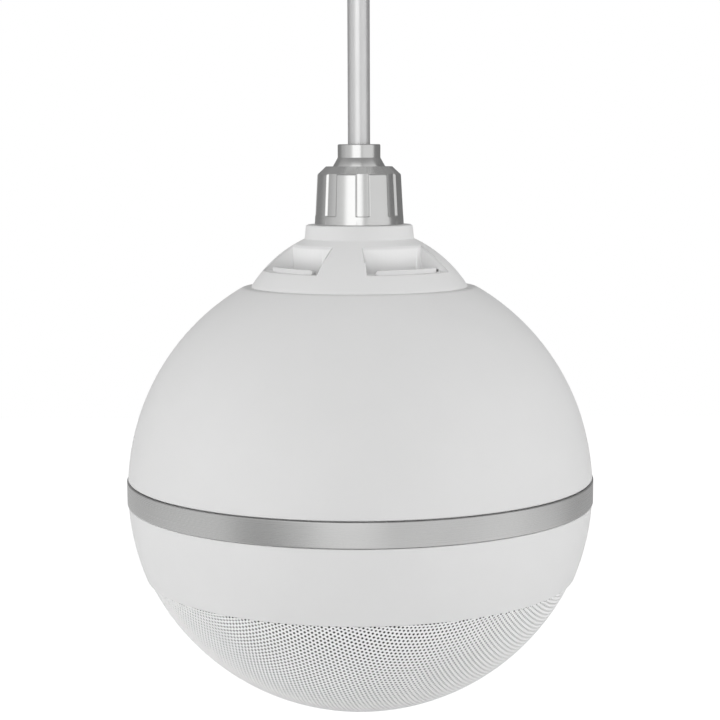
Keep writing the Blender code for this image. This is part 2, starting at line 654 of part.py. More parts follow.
def top_cap(ball):
    top_radius = CAP_COLLAR_RADIUS - CAP_COLLAR_TAPER
    edge = CAP_EDGE_RADIUS
    bore = STEM_RADIUS + STEM_CLEARANCE
    outline = (sphere_arc(DOME_RADIUS, DOME_MIDDLE, CAP_BASE, DOME_TOP, 5)
               + [(top_radius, CAP_TOP - edge), (top_radius - 0.3 * edge, CAP_TOP - 0.3 * edge),
                  (top_radius - edge, CAP_TOP), (STEM_FLANGE_RADIUS, CAP_TOP),
                  (STEM_FLANGE_RADIUS, SPIGOT_TOP), (bore, SPIGOT_TOP), (bore, CAP_BASE)])
    cap = place("top_cap", turned(outline, CAP_SIDES), WHITE_PLASTIC, ball)
    combine(cap, cap_hollow(ball))
    for number, turn in enumerate(window_turns(), 1):
        for name, form in window_cuts():
            combine(cap, tool(f"cut_{name}_{number}", form, ball, turn=turn))


def window_cuts():
    middle = BAR_RADIUS - BAR_WIDTH / 2
    groove_reach = BAR_WIDTH / 2 + BAR_CLEARANCE
    groove_half = BAR_HALF_ANGLE + BAR_CLEARANCE / BAR_RADIUS
    leg_reach = LEG_WIDTH / 2 + BAR_CLEARANCE
    leg_half = LEG_HALF_ANGLE + BAR_CLEARANCE / BAR_RADIUS
    side, depth = window_corner()
    slot_start = side - LOCK_SLOT_OVERLAP
    slot_depth = LOCK_SLOT_DEPTH + 2 * WINDOW_WALL
    slot_height = LOCK_SLOT_HEIGHT + 2 * WINDOW_WALL
    slot_middle = (slot_start + LOCK_SLOT_LENGTH / 2,
                   slot_depth / 2 - WINDOW_BACK_RADIUS - LOCK_SLOT_DEPTH,
                   WINDOW_FLOOR + LOCK_SLOT_HEIGHT - slot_height / 2)
    return [("window", slab(window_outline(), WINDOW_FLOOR, CAP_TOP)),
            ("bar_groove", arc_prism(middle - groove_reach, middle + groove_reach, groove_half,
                                     BAR_FOOT - SEAT_GAP, BAR_FOOT + BAR_HEIGHT)),
            ("leg_hole", arc_prism(middle - leg_reach, middle + leg_reach, leg_half, LOCK_RING_TOP,
                                   BAR_FOOT, 2)),
            ("lock_slot", block((LOCK_SLOT_LENGTH, slot_depth, slot_height), slot_middle))]


def lock_bar():
    form = bmesh.new()
    end = BAR_HEIGHT / 2 / (BAR_RADIUS * BAR_HALF_ANGLE)
    stations = [(-1.0, 0.40), (0.3 * end - 1.0, 0.75), (end - 1.0, 1.0), (-0.33, 1.0),
                (0.33, 1.0), (1.0 - end, 1.0), (1.0 - 0.3 * end, 0.75), (1.0, 0.40)]
    middle = BAR_FOOT + BAR_HEIGHT / 2
    loops = []
    for share, fullness in stations:
        angle = share * BAR_HALF_ANGLE
        low = middle - fullness * BAR_HEIGHT / 2
        high = middle + fullness * BAR_HEIGHT / 2
        corners = [(BAR_RADIUS, low), (BAR_RADIUS, high), (BAR_RADIUS - BAR_WIDTH, high),
                   (BAR_RADIUS - BAR_WIDTH, low)]
        loops.append([form.verts.new((radius * math.sin(angle), -radius * math.cos(angle), height))
                      for radius, height in corners])
    for first, second in zip(loops, loops[1:]):
        for corner in range(4):
            following = (corner + 1) % 4
            form.faces.new((first[corner], first[following], second[following], second[corner]))
    form.faces.new(loops[0])
    form.faces.new(loops[-1][::-1])
    return form


def lock_ring(ball):
    base = place("lock_ring", ring(TOP_HOLE_RADIUS, LOCK_RING_RADIUS, CAP_BASE, LOCK_RING_TOP,
                                   CAP_SIDES // 2), WHITE_PLASTIC, ball)
    middle = BAR_RADIUS - BAR_WIDTH / 2
    for number, turn in enumerate(window_turns(), 1):
        leg = arc_prism(middle - LEG_WIDTH / 2, middle + LEG_WIDTH / 2, LEG_HALF_ANGLE,
                        LOCK_RING_TOP - LOCK_RING_THICKNESS / 2, BAR_FOOT + BAR_HEIGHT / 2, 2)
        combine(base, tool(f"join_leg_{number}", leg, ball, turn=turn), "UNION")
        combine(base, tool(f"join_bar_{number}", lock_bar(), ball, turn=turn), "UNION")
    drill_for_screws(base, "cut_lock_ring", ball, lock_screw_spots(), CAP_BASE, LOCK_RING_TOP)
    for number, (x, y) in enumerate(lock_screw_spots(), 1):
        screw(f"lock_ring_screw_{number}", ball, (x, y, LOCK_RING_TOP + SEAT_GAP),
              LOCK_RING_THICKNESS + SEAT_THICKNESS)


# Cable gland

def gland_stem(ball):
    seal_bore = SEAL_RADIUS + SEAT_GAP
    seal_floor = NECK_TOP - SEAL_HEIGHT - 2 * SEAT_GAP
    flange_top = COLLAR_ROOF - SEAT_GAP
    flange_base = SPIGOT_TOP + SEAT_GAP
    outline = [(STEM_NECK_RADIUS - STEM_EDGE, NECK_TOP), (STEM_NECK_RADIUS, NECK_TOP - STEM_EDGE),
               (STEM_NECK_RADIUS, NECK_FOOT), (STEM_CONE_RADIUS, COLLAR_TOP), (STEM_CONE_RADIUS, flange_top),
               (STEM_FLANGE_RADIUS, flange_top), (STEM_FLANGE_RADIUS, flange_base),
               (STEM_RADIUS, flange_base), (STEM_RADIUS, STEM_END), (CORE_BORE, STEM_END),
               (CORE_BORE, STEM_STEP_LEVEL), (CABLE_BORE, STEM_STEP_LEVEL), (CABLE_BORE, seal_floor),
               (seal_bore, seal_floor), (seal_bore, NECK_TOP)]
    place("gland_stem", turned(outline, GLAND_SIDES), SILVER, ball)
    seal_foot = seal_floor + SEAT_GAP
    place("cable_seal", ring(CABLE_RADIUS + SEAT_GAP, SEAL_RADIUS, seal_foot, seal_foot + SEAL_HEIGHT,
                             GLAND_SIDES), RUBBER, ball)


def gland_collar(ball):
    rounding = 0.3 * COLLAR_CHAMFER_HEIGHT
    bore = STEM_FLANGE_RADIUS + COLLAR_CLEARANCE
    mouth = STEM_CONE_RADIUS + COLLAR_CLEARANCE
    outline = [(COLLAR_FOOT_RADIUS, COLLAR_FOOT), (COLLAR_TOP_RADIUS, COLLAR_SIDE_TOP),
               (COLLAR_TOP_RADIUS - rounding / 3, COLLAR_SIDE_TOP + rounding),
               (COLLAR_TOP_RADIUS - COLLAR_CHAMFER_WIDTH, COLLAR_TOP), (mouth, COLLAR_TOP),
               (mouth, COLLAR_ROOF), (bore, COLLAR_ROOF), (bore, COLLAR_FOOT)]
    collar = place("gland_collar", turned(outline, 4 * FLUTE_COUNT), SILVER, ball)
    lean = math.atan(COLLAR_TAPER / COLLAR_SIDE_HEIGHT)
    floor_radius = COLLAR_FOOT_RADIUS - FLUTE_FOOT * math.tan(lean) - FLUTE_DEPTH
    reach = COLLAR_TOP - COLLAR_FOOT
    seat = (Matrix.Translation((0.0, -floor_radius, COLLAR_FOOT + FLUTE_FOOT))
            @ Matrix.Rotation(-lean, 4, "X"))
    for number in range(FLUTE_COUNT):
        cut = block((FLUTE_WIDTH, COLLAR_FOOT_RADIUS, reach), (0.0, -COLLAR_FOOT_RADIUS / 2, reach / 2))
        bmesh.ops.transform(cut, verts=cut.verts, matrix=seat)
        turn = FLUTE_TURN + 2 * math.pi * number / FLUTE_COUNT
        combine(collar, tool(f"cut_flute_{number + 1}", cut, ball, turn=turn))


def gland_lock_nut(ball):
    top = CAP_ROOF - SEAT_GAP
    nut = place("gland_lock_nut", rod(LOCK_NUT_RADIUS, top - LOCK_NUT_HEIGHT, top), STEEL, ball)
    bore = rod(STEM_RADIUS + STEM_CLEARANCE, top - 2 * LOCK_NUT_HEIGHT, CAP_TOP, GLAND_SIDES)
    combine(nut, tool("cut_lock_nut", bore, ball))


def lead_sides():
    return (("red", -1, RED_JACKET), ("black", 1, BLACK_JACKET))


def wire_stop(ball):
    stop = place("wire_stop", rod(STOP_RADIUS, STOP_FOOT, STOP_TOP, 12), STEEL, ball)
    low, high = STOP_FOOT - STOP_HEIGHT, STEM_STEP_LEVEL
    combine(stop, tool("cut_core_bore", rod(CORE_RADIUS + SEAT_GAP, low, high), ball))
    for colour, side, _ in lead_sides():
        bore = rod(LEAD_RADIUS + LEAD_CLEARANCE, low, high, 8)
        combine(stop, tool(f"cut_lead_bore_{colour}", bore, ball, (side * LEAD_OFFSET, 0.0, 0.0)))
    place("steel_core", rod(CORE_RADIUS, STOP_FOOT + SEAT_GAP, STEM_STEP_LEVEL), STEEL, ball)


# Driver

def driver_screw_spots():
    return circle_spots(DRIVER_SCREW_COUNT, DRIVER_SCREW_CIRCLE, math.pi / DRIVER_SCREW_COUNT)


def baffle(ball):
    board = place("baffle", ring(DRIVER_OPENING_RADIUS, BAFFLE_RADIUS, BAFFLE_BASE, BAFFLE_TOP, ROUND_SIDES),
                  BOARD, ball)
    drill_for_screws(board, "cut_baffle", ball, baffle_screw_spots(), BAFFLE_BASE, BAFFLE_TOP)
    drill_for_screws(board, "cut_baffle_driver", ball, driver_screw_spots(), BAFFLE_BASE, BAFFLE_TOP)
    head_seat = BAFFLE_TOP + SEAT_GAP
    for number, (x, y) in enumerate(baffle_screw_spots(), 1):
        screw(f"baffle_screw_{number}", ball, (x, y, head_seat), head_seat - GRILLE_RIM + 2 * GRILLE_SHEET)


def driver_basket(ball):
    foot = DRIVER_OPENING_RADIUS + SEAT_GAP
    shoulder = BASKET_TOP - BASKET_WALL
    outline = [(DRIVER_FLANGE_RADIUS, BASKET_BASE), (DRIVER_FLANGE_RADIUS, DRIVER_FLANGE_TOP),
               (foot, DRIVER_FLANGE_TOP), (BASKET_TOP_RADIUS + BASKET_WALL, shoulder),
               (BASKET_TOP_RADIUS, BASKET_TOP), (BASKET_HOLE_RADIUS, BASKET_TOP),
               (BASKET_HOLE_RADIUS, shoulder), (BASKET_TOP_RADIUS - BASKET_WALL / 2, shoulder),
               (foot - 1.5 * BASKET_WALL, DRIVER_FLANGE_TOP), (BASKET_INNER_RADIUS, DRIVER_FLANGE_TOP),
               (BASKET_INNER_RADIUS, BASKET_BASE)]
    basket = place("driver_basket", turned(outline, DRIVER_SIDES), STEEL, ball)
    half = math.pi / BASKET_WINDOWS - BASKET_RIB_WIDTH / 2 / BASKET_TOP_RADIUS
    low = DRIVER_FLANGE_TOP + 3 * BASKET_WALL
    high = BASKET_TOP - 4 * BASKET_WALL
    for number in range(BASKET_WINDOWS):
        opening = arc_prism(BASKET_TOP_RADIUS, DRIVER_FLANGE_RADIUS, half, low, high, 2)
        turn = 2 * math.pi * (number + 0.5) / BASKET_WINDOWS
        combine(basket, tool(f"cut_basket_window_{number + 1}", opening, ball, turn=turn))
    drill_for_screws(basket, "cut_basket_flange", ball, driver_screw_spots(), BASKET_BASE, DRIVER_FLANGE_TOP)
    length = DRIVER_FLANGE_TOP + SEAT_GAP - BAFFLE_BASE
    for number, (x, y) in enumerate(driver_screw_spots(), 1):
        screw(f"driver_screw_{number}", ball, (x, y, DRIVER_FLANGE_TOP + SEAT_GAP), length)
    gasket = BAFFLE_TOP + SEAT_GAP
    place("driver_gasket", ring(DRIVER_OPENING_RADIUS, DRIVER_OPENING_RADIUS + DRIVER_GASKET_WIDTH, gasket,
                                gasket + DRIVER_GASKET_THICKNESS, DRIVER_SIDES), RUBBER, ball)


def half_roll(middle, radius, level, steps=3):
    angles = [math.pi * step / steps for step in range(steps + 1)]
    return [(middle + radius * math.cos(angle), level - radius * math.sin(angle)) for angle in angles]


def surround(ball):
    top = BASKET_BASE - SEAT_GAP
    low = top - SURROUND_SHEET
    outer = DRIVER_OPENING_RADIUS - SEAT_GAP
    roll_outer = outer - SURROUND_LAND
    middle = (roll_outer + CONE_EDGE_RADIUS) / 2
    radius = (roll_outer - CONE_EDGE_RADIUS) / 2
    land = CONE_EDGE_RADIUS - CONE_LAND
    outline = ([(outer, top), (outer, low)] + half_roll(middle, radius, low)
               + [(land, low), (land, top)]
               + half_roll(middle, radius - SURROUND_SHEET, top)[::-1])
    place("surround", turned(outline, DRIVER_SIDES), RUBBER, ball)


def cone(ball):
    land = CONE_EDGE_RADIUS - CONE_LAND
    neck = FORMER_RADIUS + SEAT_GAP
    outline = [(CONE_EDGE_RADIUS, BASKET_BASE), (CONE_EDGE_RADIUS, BASKET_BASE + CONE_SHEET),
               (land, BASKET_BASE + 1.5 * CONE_SHEET), (neck, CONE_NECK + CONE_SHEET),
               (neck, CONE_NECK - CONE_SHEET / 2), (land, BASKET_BASE)]
    place("cone", turned(outline, DRIVER_SIDES), BLACK_PAPER, ball)


def dust_cap(ball):
    land = CONE_EDGE_RADIUS - CONE_LAND
    neck = FORMER_RADIUS + SEAT_GAP
    share = (land - DUST_CAP_RADIUS) / (land - neck)
    rim = BASKET_BASE + share * (CONE_NECK - CONE_SHEET / 2 - BASKET_BASE) - 2 * SEAT_GAP
    steps = 3
    turns = [math.pi / 2 * step / steps for step in range(steps)]
    outer = [(DUST_CAP_RADIUS * math.cos(turn), rim - DUST_CAP_DEPTH * math.sin(turn)) for turn in turns]
    inner_radius = DUST_CAP_RADIUS - CONE_SHEET
    inner_depth = DUST_CAP_DEPTH - CONE_SHEET
    inner = [(inner_radius * math.cos(turn), rim - inner_depth * math.sin(turn)) for turn in turns]
    outline = outer + [(0.0, rim - DUST_CAP_DEPTH), (0.0, rim - inner_depth)] + inner[::-1]
    place("dust_cap", turned(outline, DRIVER_SIDES), BLACK_PAPER, ball)


def former_and_coil(ball):
    foot = CONE_NECK - CONE_SHEET
    place("coil_former", ring(FORMER_RADIUS - FORMER_WALL, FORMER_RADIUS, foot, foot + FORMER_HEIGHT,
                              DRIVER_SIDES), BLACK_PAPER, ball)
    inner = FORMER_RADIUS + SEAT_GAP
    middle = (FRONT_PLATE_BASE + FRONT_PLATE_TOP) / 2
    place("voice_coil", ring(inner, inner + COIL_THICKNESS, middle - COIL_HEIGHT / 2,
                             middle + COIL_HEIGHT / 2, DRIVER_SIDES), COPPER, ball)


def spider(ball):
    top = BASKET_TOP - BASKET_WALL - SEAT_GAP
    inner = FORMER_RADIUS + SEAT_GAP
    land = SPIDER_RADIUS - (SPIDER_RADIUS - inner) / 5
    drops = [0, 3, 1, 3, 1]
    steps = len(drops) - 1
    upper = [(land + (inner - land) * step / steps, top - drop * SPIDER_WAVE)
             for step, drop in enumerate(drops)]
    outline = [(SPIDER_RADIUS, top)] + upper
    outline += [(radius, height - SPIDER_SHEET) for radius, height in reversed(outline)]
    place("spider", turned(outline, DRIVER_SIDES), BOARD, ball)


def motor(ball):
    gap = FORMER_RADIUS + SEAT_GAP + COIL_THICKNESS + MOTOR_GAP
    place("front_plate", ring(gap, FRONT_PLATE_RADIUS, FRONT_PLATE_BASE, FRONT_PLATE_TOP, DRIVER_SIDES),
          STEEL, ball)
    place("magnet", ring(MAGNET_HOLE_RADIUS, MAGNET_RADIUS, MAGNET_BASE, MAGNET_TOP, DRIVER_SIDES),
          FERRITE, ball)
    place("yoke", turned([(0.0, FRONT_PLATE_BASE), (POLE_RADIUS, FRONT_PLATE_BASE), (POLE_RADIUS, YOKE_BASE),
                          (FRONT_PLATE_RADIUS, YOKE_BASE), (FRONT_PLATE_RADIUS, YOKE_TOP),
                          (0.0, YOKE_TOP)], DRIVER_SIDES), STEEL, ball)


# Line transformer on the yoke

def transformer(ball):
    foot = YOKE_TOP + SEAT_GAP
    middle = foot + CORE_HEIGHT / 2
    window_width = (CORE_WIDTH - 4 * CORE_LIMB) / 2
    window_height = CORE_HEIGHT - 2 * CORE_LIMB
    core = place("transformer_core", block((CORE_WIDTH, CORE_DEPTH, CORE_HEIGHT), (0.0, 0.0, middle)),
                 STEEL, ball)
    for number, side in enumerate((-1, 1), 1):
        opening = block((window_width, 2 * CORE_DEPTH, window_height),
                        (side * (CORE_LIMB + window_width / 2), 0.0, middle))
        combine(core, tool(f"cut_core_window_{number}", opening, ball))
    width = 2 * (CORE_LIMB + window_width - SEAT_GAP)
    depth = CORE_DEPTH + 2 * (SEAT_GAP + WINDING_OVERHANG)
    height = window_height - 2 * SEAT_GAP
    winding = place("transformer_winding", block((width, depth, height), (0.0, 0.0, middle)), COPPER, ball)
    limb = block((2 * (CORE_LIMB + SEAT_GAP), CORE_DEPTH + 2 * SEAT_GAP, 2 * height), (0.0, 0.0, middle))
    combine(winding, tool("cut_winding_limb", limb, ball))
    transformer_strap(ball, foot)


def transformer_strap(ball, foot):
    side = CORE_WIDTH / 2 + SEAT_GAP
    roof = CORE_HEIGHT + SEAT_GAP
    outer = side + STRAP_THICKNESS
    end = side + STRAP_FOOT
    right = [(end, 0.0), (end, STRAP_THICKNESS), (outer, STRAP_THICKNESS), (outer, roof + STRAP_THICKNESS)]
    left = [(-x, height) for x, height in reversed(right)]
    inside = [(-side, 0.0), (-side, roof), (side, roof), (side, 0.0)]
    form = slab(right + left + inside, -STRAP_DEPTH / 2, STRAP_DEPTH / 2)
    place("transformer_strap", lying(form, (0.0, 0.0, foot)), STEEL, ball)


# Wiring

def terminal_block(ball):
    foot = BAFFLE_TOP + SEAT_GAP
    top = foot + BLOCK_HEIGHT
    body = place("terminal_block", block((BLOCK_WIDTH, BLOCK_DEPTH, BLOCK_HEIGHT),
                                         (0.0, BLOCK_DISTANCE, (foot + top) / 2)), NYLON, ball)
    bore_level = foot + BLOCK_BORE_HEIGHT
    well_floor = bore_level + 1.5 * BLOCK_BORE_RADIUS
    for number, side in enumerate((-1, 1), 1):
        x = side * BLOCK_BORE_SPREAD
        bore = lying(rod(BLOCK_BORE_RADIUS, -BLOCK_DEPTH, BLOCK_DEPTH), (x, BLOCK_DISTANCE, bore_level))
        combine(body, tool(f"cut_wire_bore_{number}", bore, ball))
        well = rod(SCREW_RADIUS + HOLE_CLEARANCE, well_floor, top + BLOCK_HEIGHT)
        combine(body, tool(f"cut_screw_well_{number}", well, ball, (x, BLOCK_DISTANCE, 0.0)))
        screw(f"terminal_screw_{number}", ball, (x, BLOCK_DISTANCE, top + SEAT_GAP), top - well_floor)


def tag_level():
    return DRIVER_FLANGE_TOP + SEAT_GAP + TAG_HEIGHT / 2


def tag_strip(ball):
    strip = place("tag_strip", block((TAG_WIDTH, TAG_THICKNESS, TAG_HEIGHT), (0.0, TAG_DISTANCE, tag_level())),
                  BOARD, ball)
    for number, side in enumerate((-1, 1), 1):
        spot = (side * TAG_BORE_SPREAD, TAG_DISTANCE, tag_level())
        bore = lying(rod(LEAD_RADIUS + HOLE_CLEARANCE, -TAG_HEIGHT, TAG_HEIGHT, 8), spot)
        combine(strip, tool(f"cut_tag_bore_{number}", bore, ball))


def supply_stop(side, distance, level):
    share = distance / BLOCK_DISTANCE
    return side * (LEAD_OFFSET + share * (BLOCK_BORE_SPREAD - LEAD_OFFSET)), distance, level


def supply_leads(ball):
    level = BAFFLE_TOP + SEAT_GAP + BLOCK_BORE_HEIGHT
    outside = BLOCK_DISTANCE + BLOCK_DEPTH / 2
    winding_face = CORE_DEPTH / 2 + SEAT_GAP + WINDING_OVERHANG
    core_top = YOKE_TOP + SEAT_GAP + CORE_HEIGHT
    beside_magnet = MAGNET_RADIUS + LEAD_BERTH
    for colour, side, coat in lead_sides():
        stops = [(side * LEAD_OFFSET, 0.0, STEM_STEP_LEVEL),
                 (side * LEAD_OFFSET, 0.0, (STOP_TOP + STOP_FOOT) / 2),
                 (side * LEAD_OFFSET, 0.0, STOP_FOOT - LEAD_TAIL),
                 supply_stop(side, winding_face / 2, (STOP_FOOT + core_top) / 2),
                 supply_stop(side, winding_face + LEAD_BERTH, core_top),
                 supply_stop(side, beside_magnet, YOKE_TOP),
                 supply_stop(side, (beside_magnet + outside) / 2, (YOKE_TOP + level) / 2),
                 (side * BLOCK_BORE_SPREAD, outside + LEAD_SWING / 2, level + LEAD_DROP),
                 (side * BLOCK_BORE_SPREAD, outside + LEAD_SWING, level + LEAD_DROP / 3),
                 (side * BLOCK_BORE_SPREAD, outside + LEAD_SWING / 3, level),
                 (side * BLOCK_BORE_SPREAD, outside - LEAD_ENTRY, level)]
        tube(f"supply_lead_{colour}", smooth_route(stops, SUPPLY_SPACING), LEAD_RADIUS, coat, ball, 1)


def driver_leads(ball):
    level = BAFFLE_TOP + SEAT_GAP + BLOCK_BORE_HEIGHT
    inside = BLOCK_DISTANCE - BLOCK_DEPTH / 2
    for colour, side, coat in lead_sides():
        stops = [(side * BLOCK_BORE_SPREAD, inside + LEAD_ENTRY, level),
                 (side * BLOCK_BORE_SPREAD, inside - LEAD_RADIUS, level),
                 (side * BLOCK_BORE_SPREAD, (inside + TAG_DISTANCE) / 2, (level + tag_level()) / 2),
                 (side * TAG_BORE_SPREAD, TAG_DISTANCE + TAG_THICKNESS, tag_level()),
                 (side * TAG_BORE_SPREAD, TAG_DISTANCE, tag_level())]
        tube(f"driver_lead_{colour}", smooth_route(stops, DRIVER_SPACING), LEAD_RADIUS, coat, ball, 1)


# Ceiling rose and suspension cable

def lug_face():
    inside = (ROSE_RADIUS - ROSE_WALL) * math.cos(math.pi / ROSE_SIDES) - SEAT_GAP
    return math.sqrt(inside ** 2 - (LUG_WIDTH / 2) ** 2)


def ceiling_plate(rose):
    plate = place("ceiling_plate", rod(ROSE_RADIUS - ROSE_WALL - PLATE_CLEARANCE, -PLATE_THICKNESS, 0.0,
                                       ROSE_SIDES), STEEL, rose)
    lug_top = PLATE_THICKNESS / 2
    for number, side in enumerate((-1, 1), 1):
        lug = block((LUG_WIDTH, LUG_THICKNESS, LUG_END - lug_top),
                    (0.0, side * (lug_face() - LUG_THICKNESS / 2), -(lug_top + LUG_END) / 2))
        combine(plate, tool(f"join_lug_{number}", lug, rose), "UNION")
    across = lying(rod(SCREW_RADIUS + HOLE_CLEARANCE, -ROSE_RADIUS, ROSE_RADIUS), (0.0, 0.0, -COVER_SCREW_DROP))
    combine(plate, tool("cut_lug_holes", across, rose))
    fixings = [(-PLATE_HOLE_SPREAD, 0.0), (PLATE_HOLE_SPREAD, 0.0)]
    drill(plate, "cut_fixing", rose, fixings, PLATE_HOLE_RADIUS, -2 * PLATE_THICKNESS, PLATE_THICKNESS)
    drill(plate, "cut_wire_entry", rose, [(0.0, WIRE_HOLE_OFFSET)], WIRE_HOLE_RADIUS,
          -2 * PLATE_THICKNESS, PLATE_THICKNESS)


def ceiling_cover(rose):
    hole = GRIP_THREAD_RADIUS + HOLE_CLEARANCE
    knee = 0.86 * ROSE_RADIUS
    foot = 0.34 * ROSE_RADIUS
    knee_level = -(ROSE_SIDE_HEIGHT + ROSE_DEPTH) / 2
    outline = [(ROSE_RADIUS, -SEAT_GAP), (ROSE_RADIUS, -ROSE_SIDE_HEIGHT), (knee, knee_level),
               (foot, -ROSE_DEPTH), (hole, -ROSE_DEPTH), (hole, -ROSE_DEPTH + ROSE_WALL),
               (foot - ROSE_WALL / 3, -ROSE_DEPTH + ROSE_WALL), (knee - ROSE_WALL, knee_level + 0.6 * ROSE_WALL),
               (ROSE_RADIUS - ROSE_WALL, -ROSE_SIDE_HEIGHT + 0.3 * ROSE_WALL),
               (ROSE_RADIUS - ROSE_WALL, -SEAT_GAP)]
    cover = place("ceiling_cover", turned(outline, ROSE_SIDES), WHITE_PLASTIC, rose)
    length = ROSE_RADIUS + SEAT_GAP - lug_face() + 2 * LUG_THICKNESS
    for number, side in enumerate((-1, 1), 1):
        hole_cut = lying(rod(SCREW_RADIUS + HOLE_CLEARANCE, -2 * ROSE_WALL, 2 * ROSE_WALL),
                         (0.0, side * ROSE_RADIUS, -COVER_SCREW_DROP))
        combine(cover, tool(f"cut_cover_screw_{number}", hole_cut, rose))
        outward = Matrix.Rotation(side * -math.pi / 2, 4, "X")
        screw(f"cover_screw_{number}", rose, (0.0, side * (ROSE_RADIUS + SEAT_GAP), -COVER_SCREW_DROP), length,
              outward)


def cord_grip(rose):
    tip = GRIP_FLANGE_TOP - GRIP_HEIGHT
    thread_top = GRIP_FLANGE_TOP + GRIP_THREAD_HEIGHT
    outline = [(GRIP_FLANGE_RADIUS, GRIP_FLANGE_TOP), (GRIP_FLANGE_RADIUS, GRIP_FLANGE_TOP - GRIP_FLANGE_HEIGHT),
               (CABLE_BORE + GRIP_TIP_WALL, tip), (CABLE_BORE, tip), (CABLE_BORE, thread_top),
               (GRIP_THREAD_RADIUS, thread_top), (GRIP_THREAD_RADIUS, GRIP_FLANGE_TOP)]
    place("cord_grip", turned(outline, 12), WHITE_PLASTIC, rose)
    nut_foot = -ROSE_DEPTH + ROSE_WALL + SEAT_GAP
    grip_nut = place("cord_grip_nut", rod(GRIP_NUT_RADIUS, nut_foot, nut_foot + GRIP_NUT_HEIGHT), NYLON, rose)
    thread = rod(GRIP_THREAD_RADIUS + SEAT_GAP, -ROSE_DEPTH, 0.0, 12)
    combine(grip_nut, tool("cut_grip_nut", thread, rose))
    place("cable_clamp", ring(CABLE_BORE, CABLE_BORE + CLAMP_WALL, CLAMP_BASE, CLAMP_BASE + CLAMP_HEIGHT, 12),
          STEEL, rose)


def suspension_cable(rose):
    top = CLAMP_BASE + CLAMP_HEIGHT + CABLE_TOP_TAIL
    bottom = STEM_STEP_LEVEL + SEAT_GAP - CEILING_DROP
    spans = round((top - bottom) / (5 * CABLE_RADIUS))
    points = [(0.0, 0.0, bottom + (top - bottom) * step / spans) for step in range(spans + 1)]
    tube("suspension_cable", points, CABLE_RADIUS, CABLE_GREY, rose, 2)


def build():
    clear_objects()
    rose = group("ceiling_rose", 0.0)
    ceiling_plate(rose)
    ceiling_cover(rose)
    cord_grip(rose)
    suspension_cable(rose)
    ball = group("speaker_ball", -CEILING_DROP)
    upper_shell(ball)
    lower_shell(ball)
    joint_of_the_shells(ball)
    grille(ball)
    grille_cloth(ball)
    top_cap(ball)
    lock_ring(ball)
    gland_stem(ball)
    gland_collar(ball)
    gland_lock_nut(ball)
    wire_stop(ball)
    baffle(ball)
    driver_basket(ball)
    surround(ball)
    cone(ball)
    dust_cap(ball)
    former_and_coil(ball)
    spider(ball)
    motor(ball)
    transformer(ball)
    terminal_block(ball)
    tag_strip(ball)
    supply_leads(ball)
    driver_leads(ball)


build()
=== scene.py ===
import math

import bmesh
import bpy
import numpy as np
from mathutils import Matrix, Vector
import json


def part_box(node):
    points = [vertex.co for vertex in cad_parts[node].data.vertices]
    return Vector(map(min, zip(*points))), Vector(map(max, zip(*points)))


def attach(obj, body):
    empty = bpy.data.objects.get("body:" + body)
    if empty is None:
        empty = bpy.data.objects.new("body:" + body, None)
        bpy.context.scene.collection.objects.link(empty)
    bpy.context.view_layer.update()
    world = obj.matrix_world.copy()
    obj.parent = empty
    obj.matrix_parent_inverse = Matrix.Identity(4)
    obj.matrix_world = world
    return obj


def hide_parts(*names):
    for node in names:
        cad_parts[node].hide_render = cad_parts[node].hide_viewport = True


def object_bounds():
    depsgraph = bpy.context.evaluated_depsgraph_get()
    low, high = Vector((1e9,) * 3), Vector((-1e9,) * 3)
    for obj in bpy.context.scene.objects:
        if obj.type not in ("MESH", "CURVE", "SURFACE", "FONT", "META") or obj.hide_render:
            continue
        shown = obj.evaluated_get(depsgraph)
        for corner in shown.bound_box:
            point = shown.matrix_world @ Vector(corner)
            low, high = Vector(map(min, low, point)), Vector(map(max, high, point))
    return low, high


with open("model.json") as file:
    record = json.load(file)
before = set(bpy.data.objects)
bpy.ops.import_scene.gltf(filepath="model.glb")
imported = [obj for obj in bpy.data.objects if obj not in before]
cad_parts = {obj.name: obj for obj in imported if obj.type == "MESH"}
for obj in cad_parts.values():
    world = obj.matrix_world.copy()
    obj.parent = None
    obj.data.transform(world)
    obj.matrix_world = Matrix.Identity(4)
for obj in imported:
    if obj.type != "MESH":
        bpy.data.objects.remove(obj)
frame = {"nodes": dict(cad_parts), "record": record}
cadLow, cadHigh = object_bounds()
body = "root"


def say(text):
    print("scene:", text, flush=True)


# Main sizes, most of them read from the frame

shellWall = 0.0026
trimProud = 0.00033
seatGap = 0.0003
lockWidth = 0.00604
trimLow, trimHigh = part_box("trim_ring")
ballMiddle = (trimLow.z + trimHigh.z) / 2
trimRadius = trimHigh.x
trimHalf = (trimHigh.z - trimLow.z) / 2
ballRadius = trimRadius - trimProud
innerRadius = ballRadius - shellWall
capLow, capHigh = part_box("top_cap")
capFootRadius = capHigh.x
capBase = capLow.z - ballMiddle
seatLevel = capBase - seatGap
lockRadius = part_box("lock_ring")[1].x
lockInner = lockRadius - lockWidth
collarLow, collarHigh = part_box("gland_collar")
collarFoot = collarLow.z - ballMiddle
collarTop = collarHigh.z - ballMiddle
stemLow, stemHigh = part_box("gland_stem")
stemEnd = stemLow.z - ballMiddle
neckTop = stemHigh.z - ballMiddle

# how far the cap and the collar come down into the gap over their seats
footDrop = 0.00028


# Shader building

class Value:
    # one output socket, with operators that add maths nodes
    def __init__(self, coat, socket):
        self.coat = coat
        self.socket = socket

    def calc(self, operation, *others):
        return self.coat.maths(operation, self, *others)

    def __add__(self, other):
        return self.calc("ADD", other)

    __radd__ = __add__

    def __sub__(self, other):
        return self.calc("SUBTRACT", other)

    def __rsub__(self, other):
        return self.coat.maths("SUBTRACT", other, self)

    def __mul__(self, other):
        return self.calc("MULTIPLY", other)

    __rmul__ = __mul__

    def __truediv__(self, other):
        return self.calc("DIVIDE", other)

    def __pow__(self, other):
        return self.calc("POWER", other)


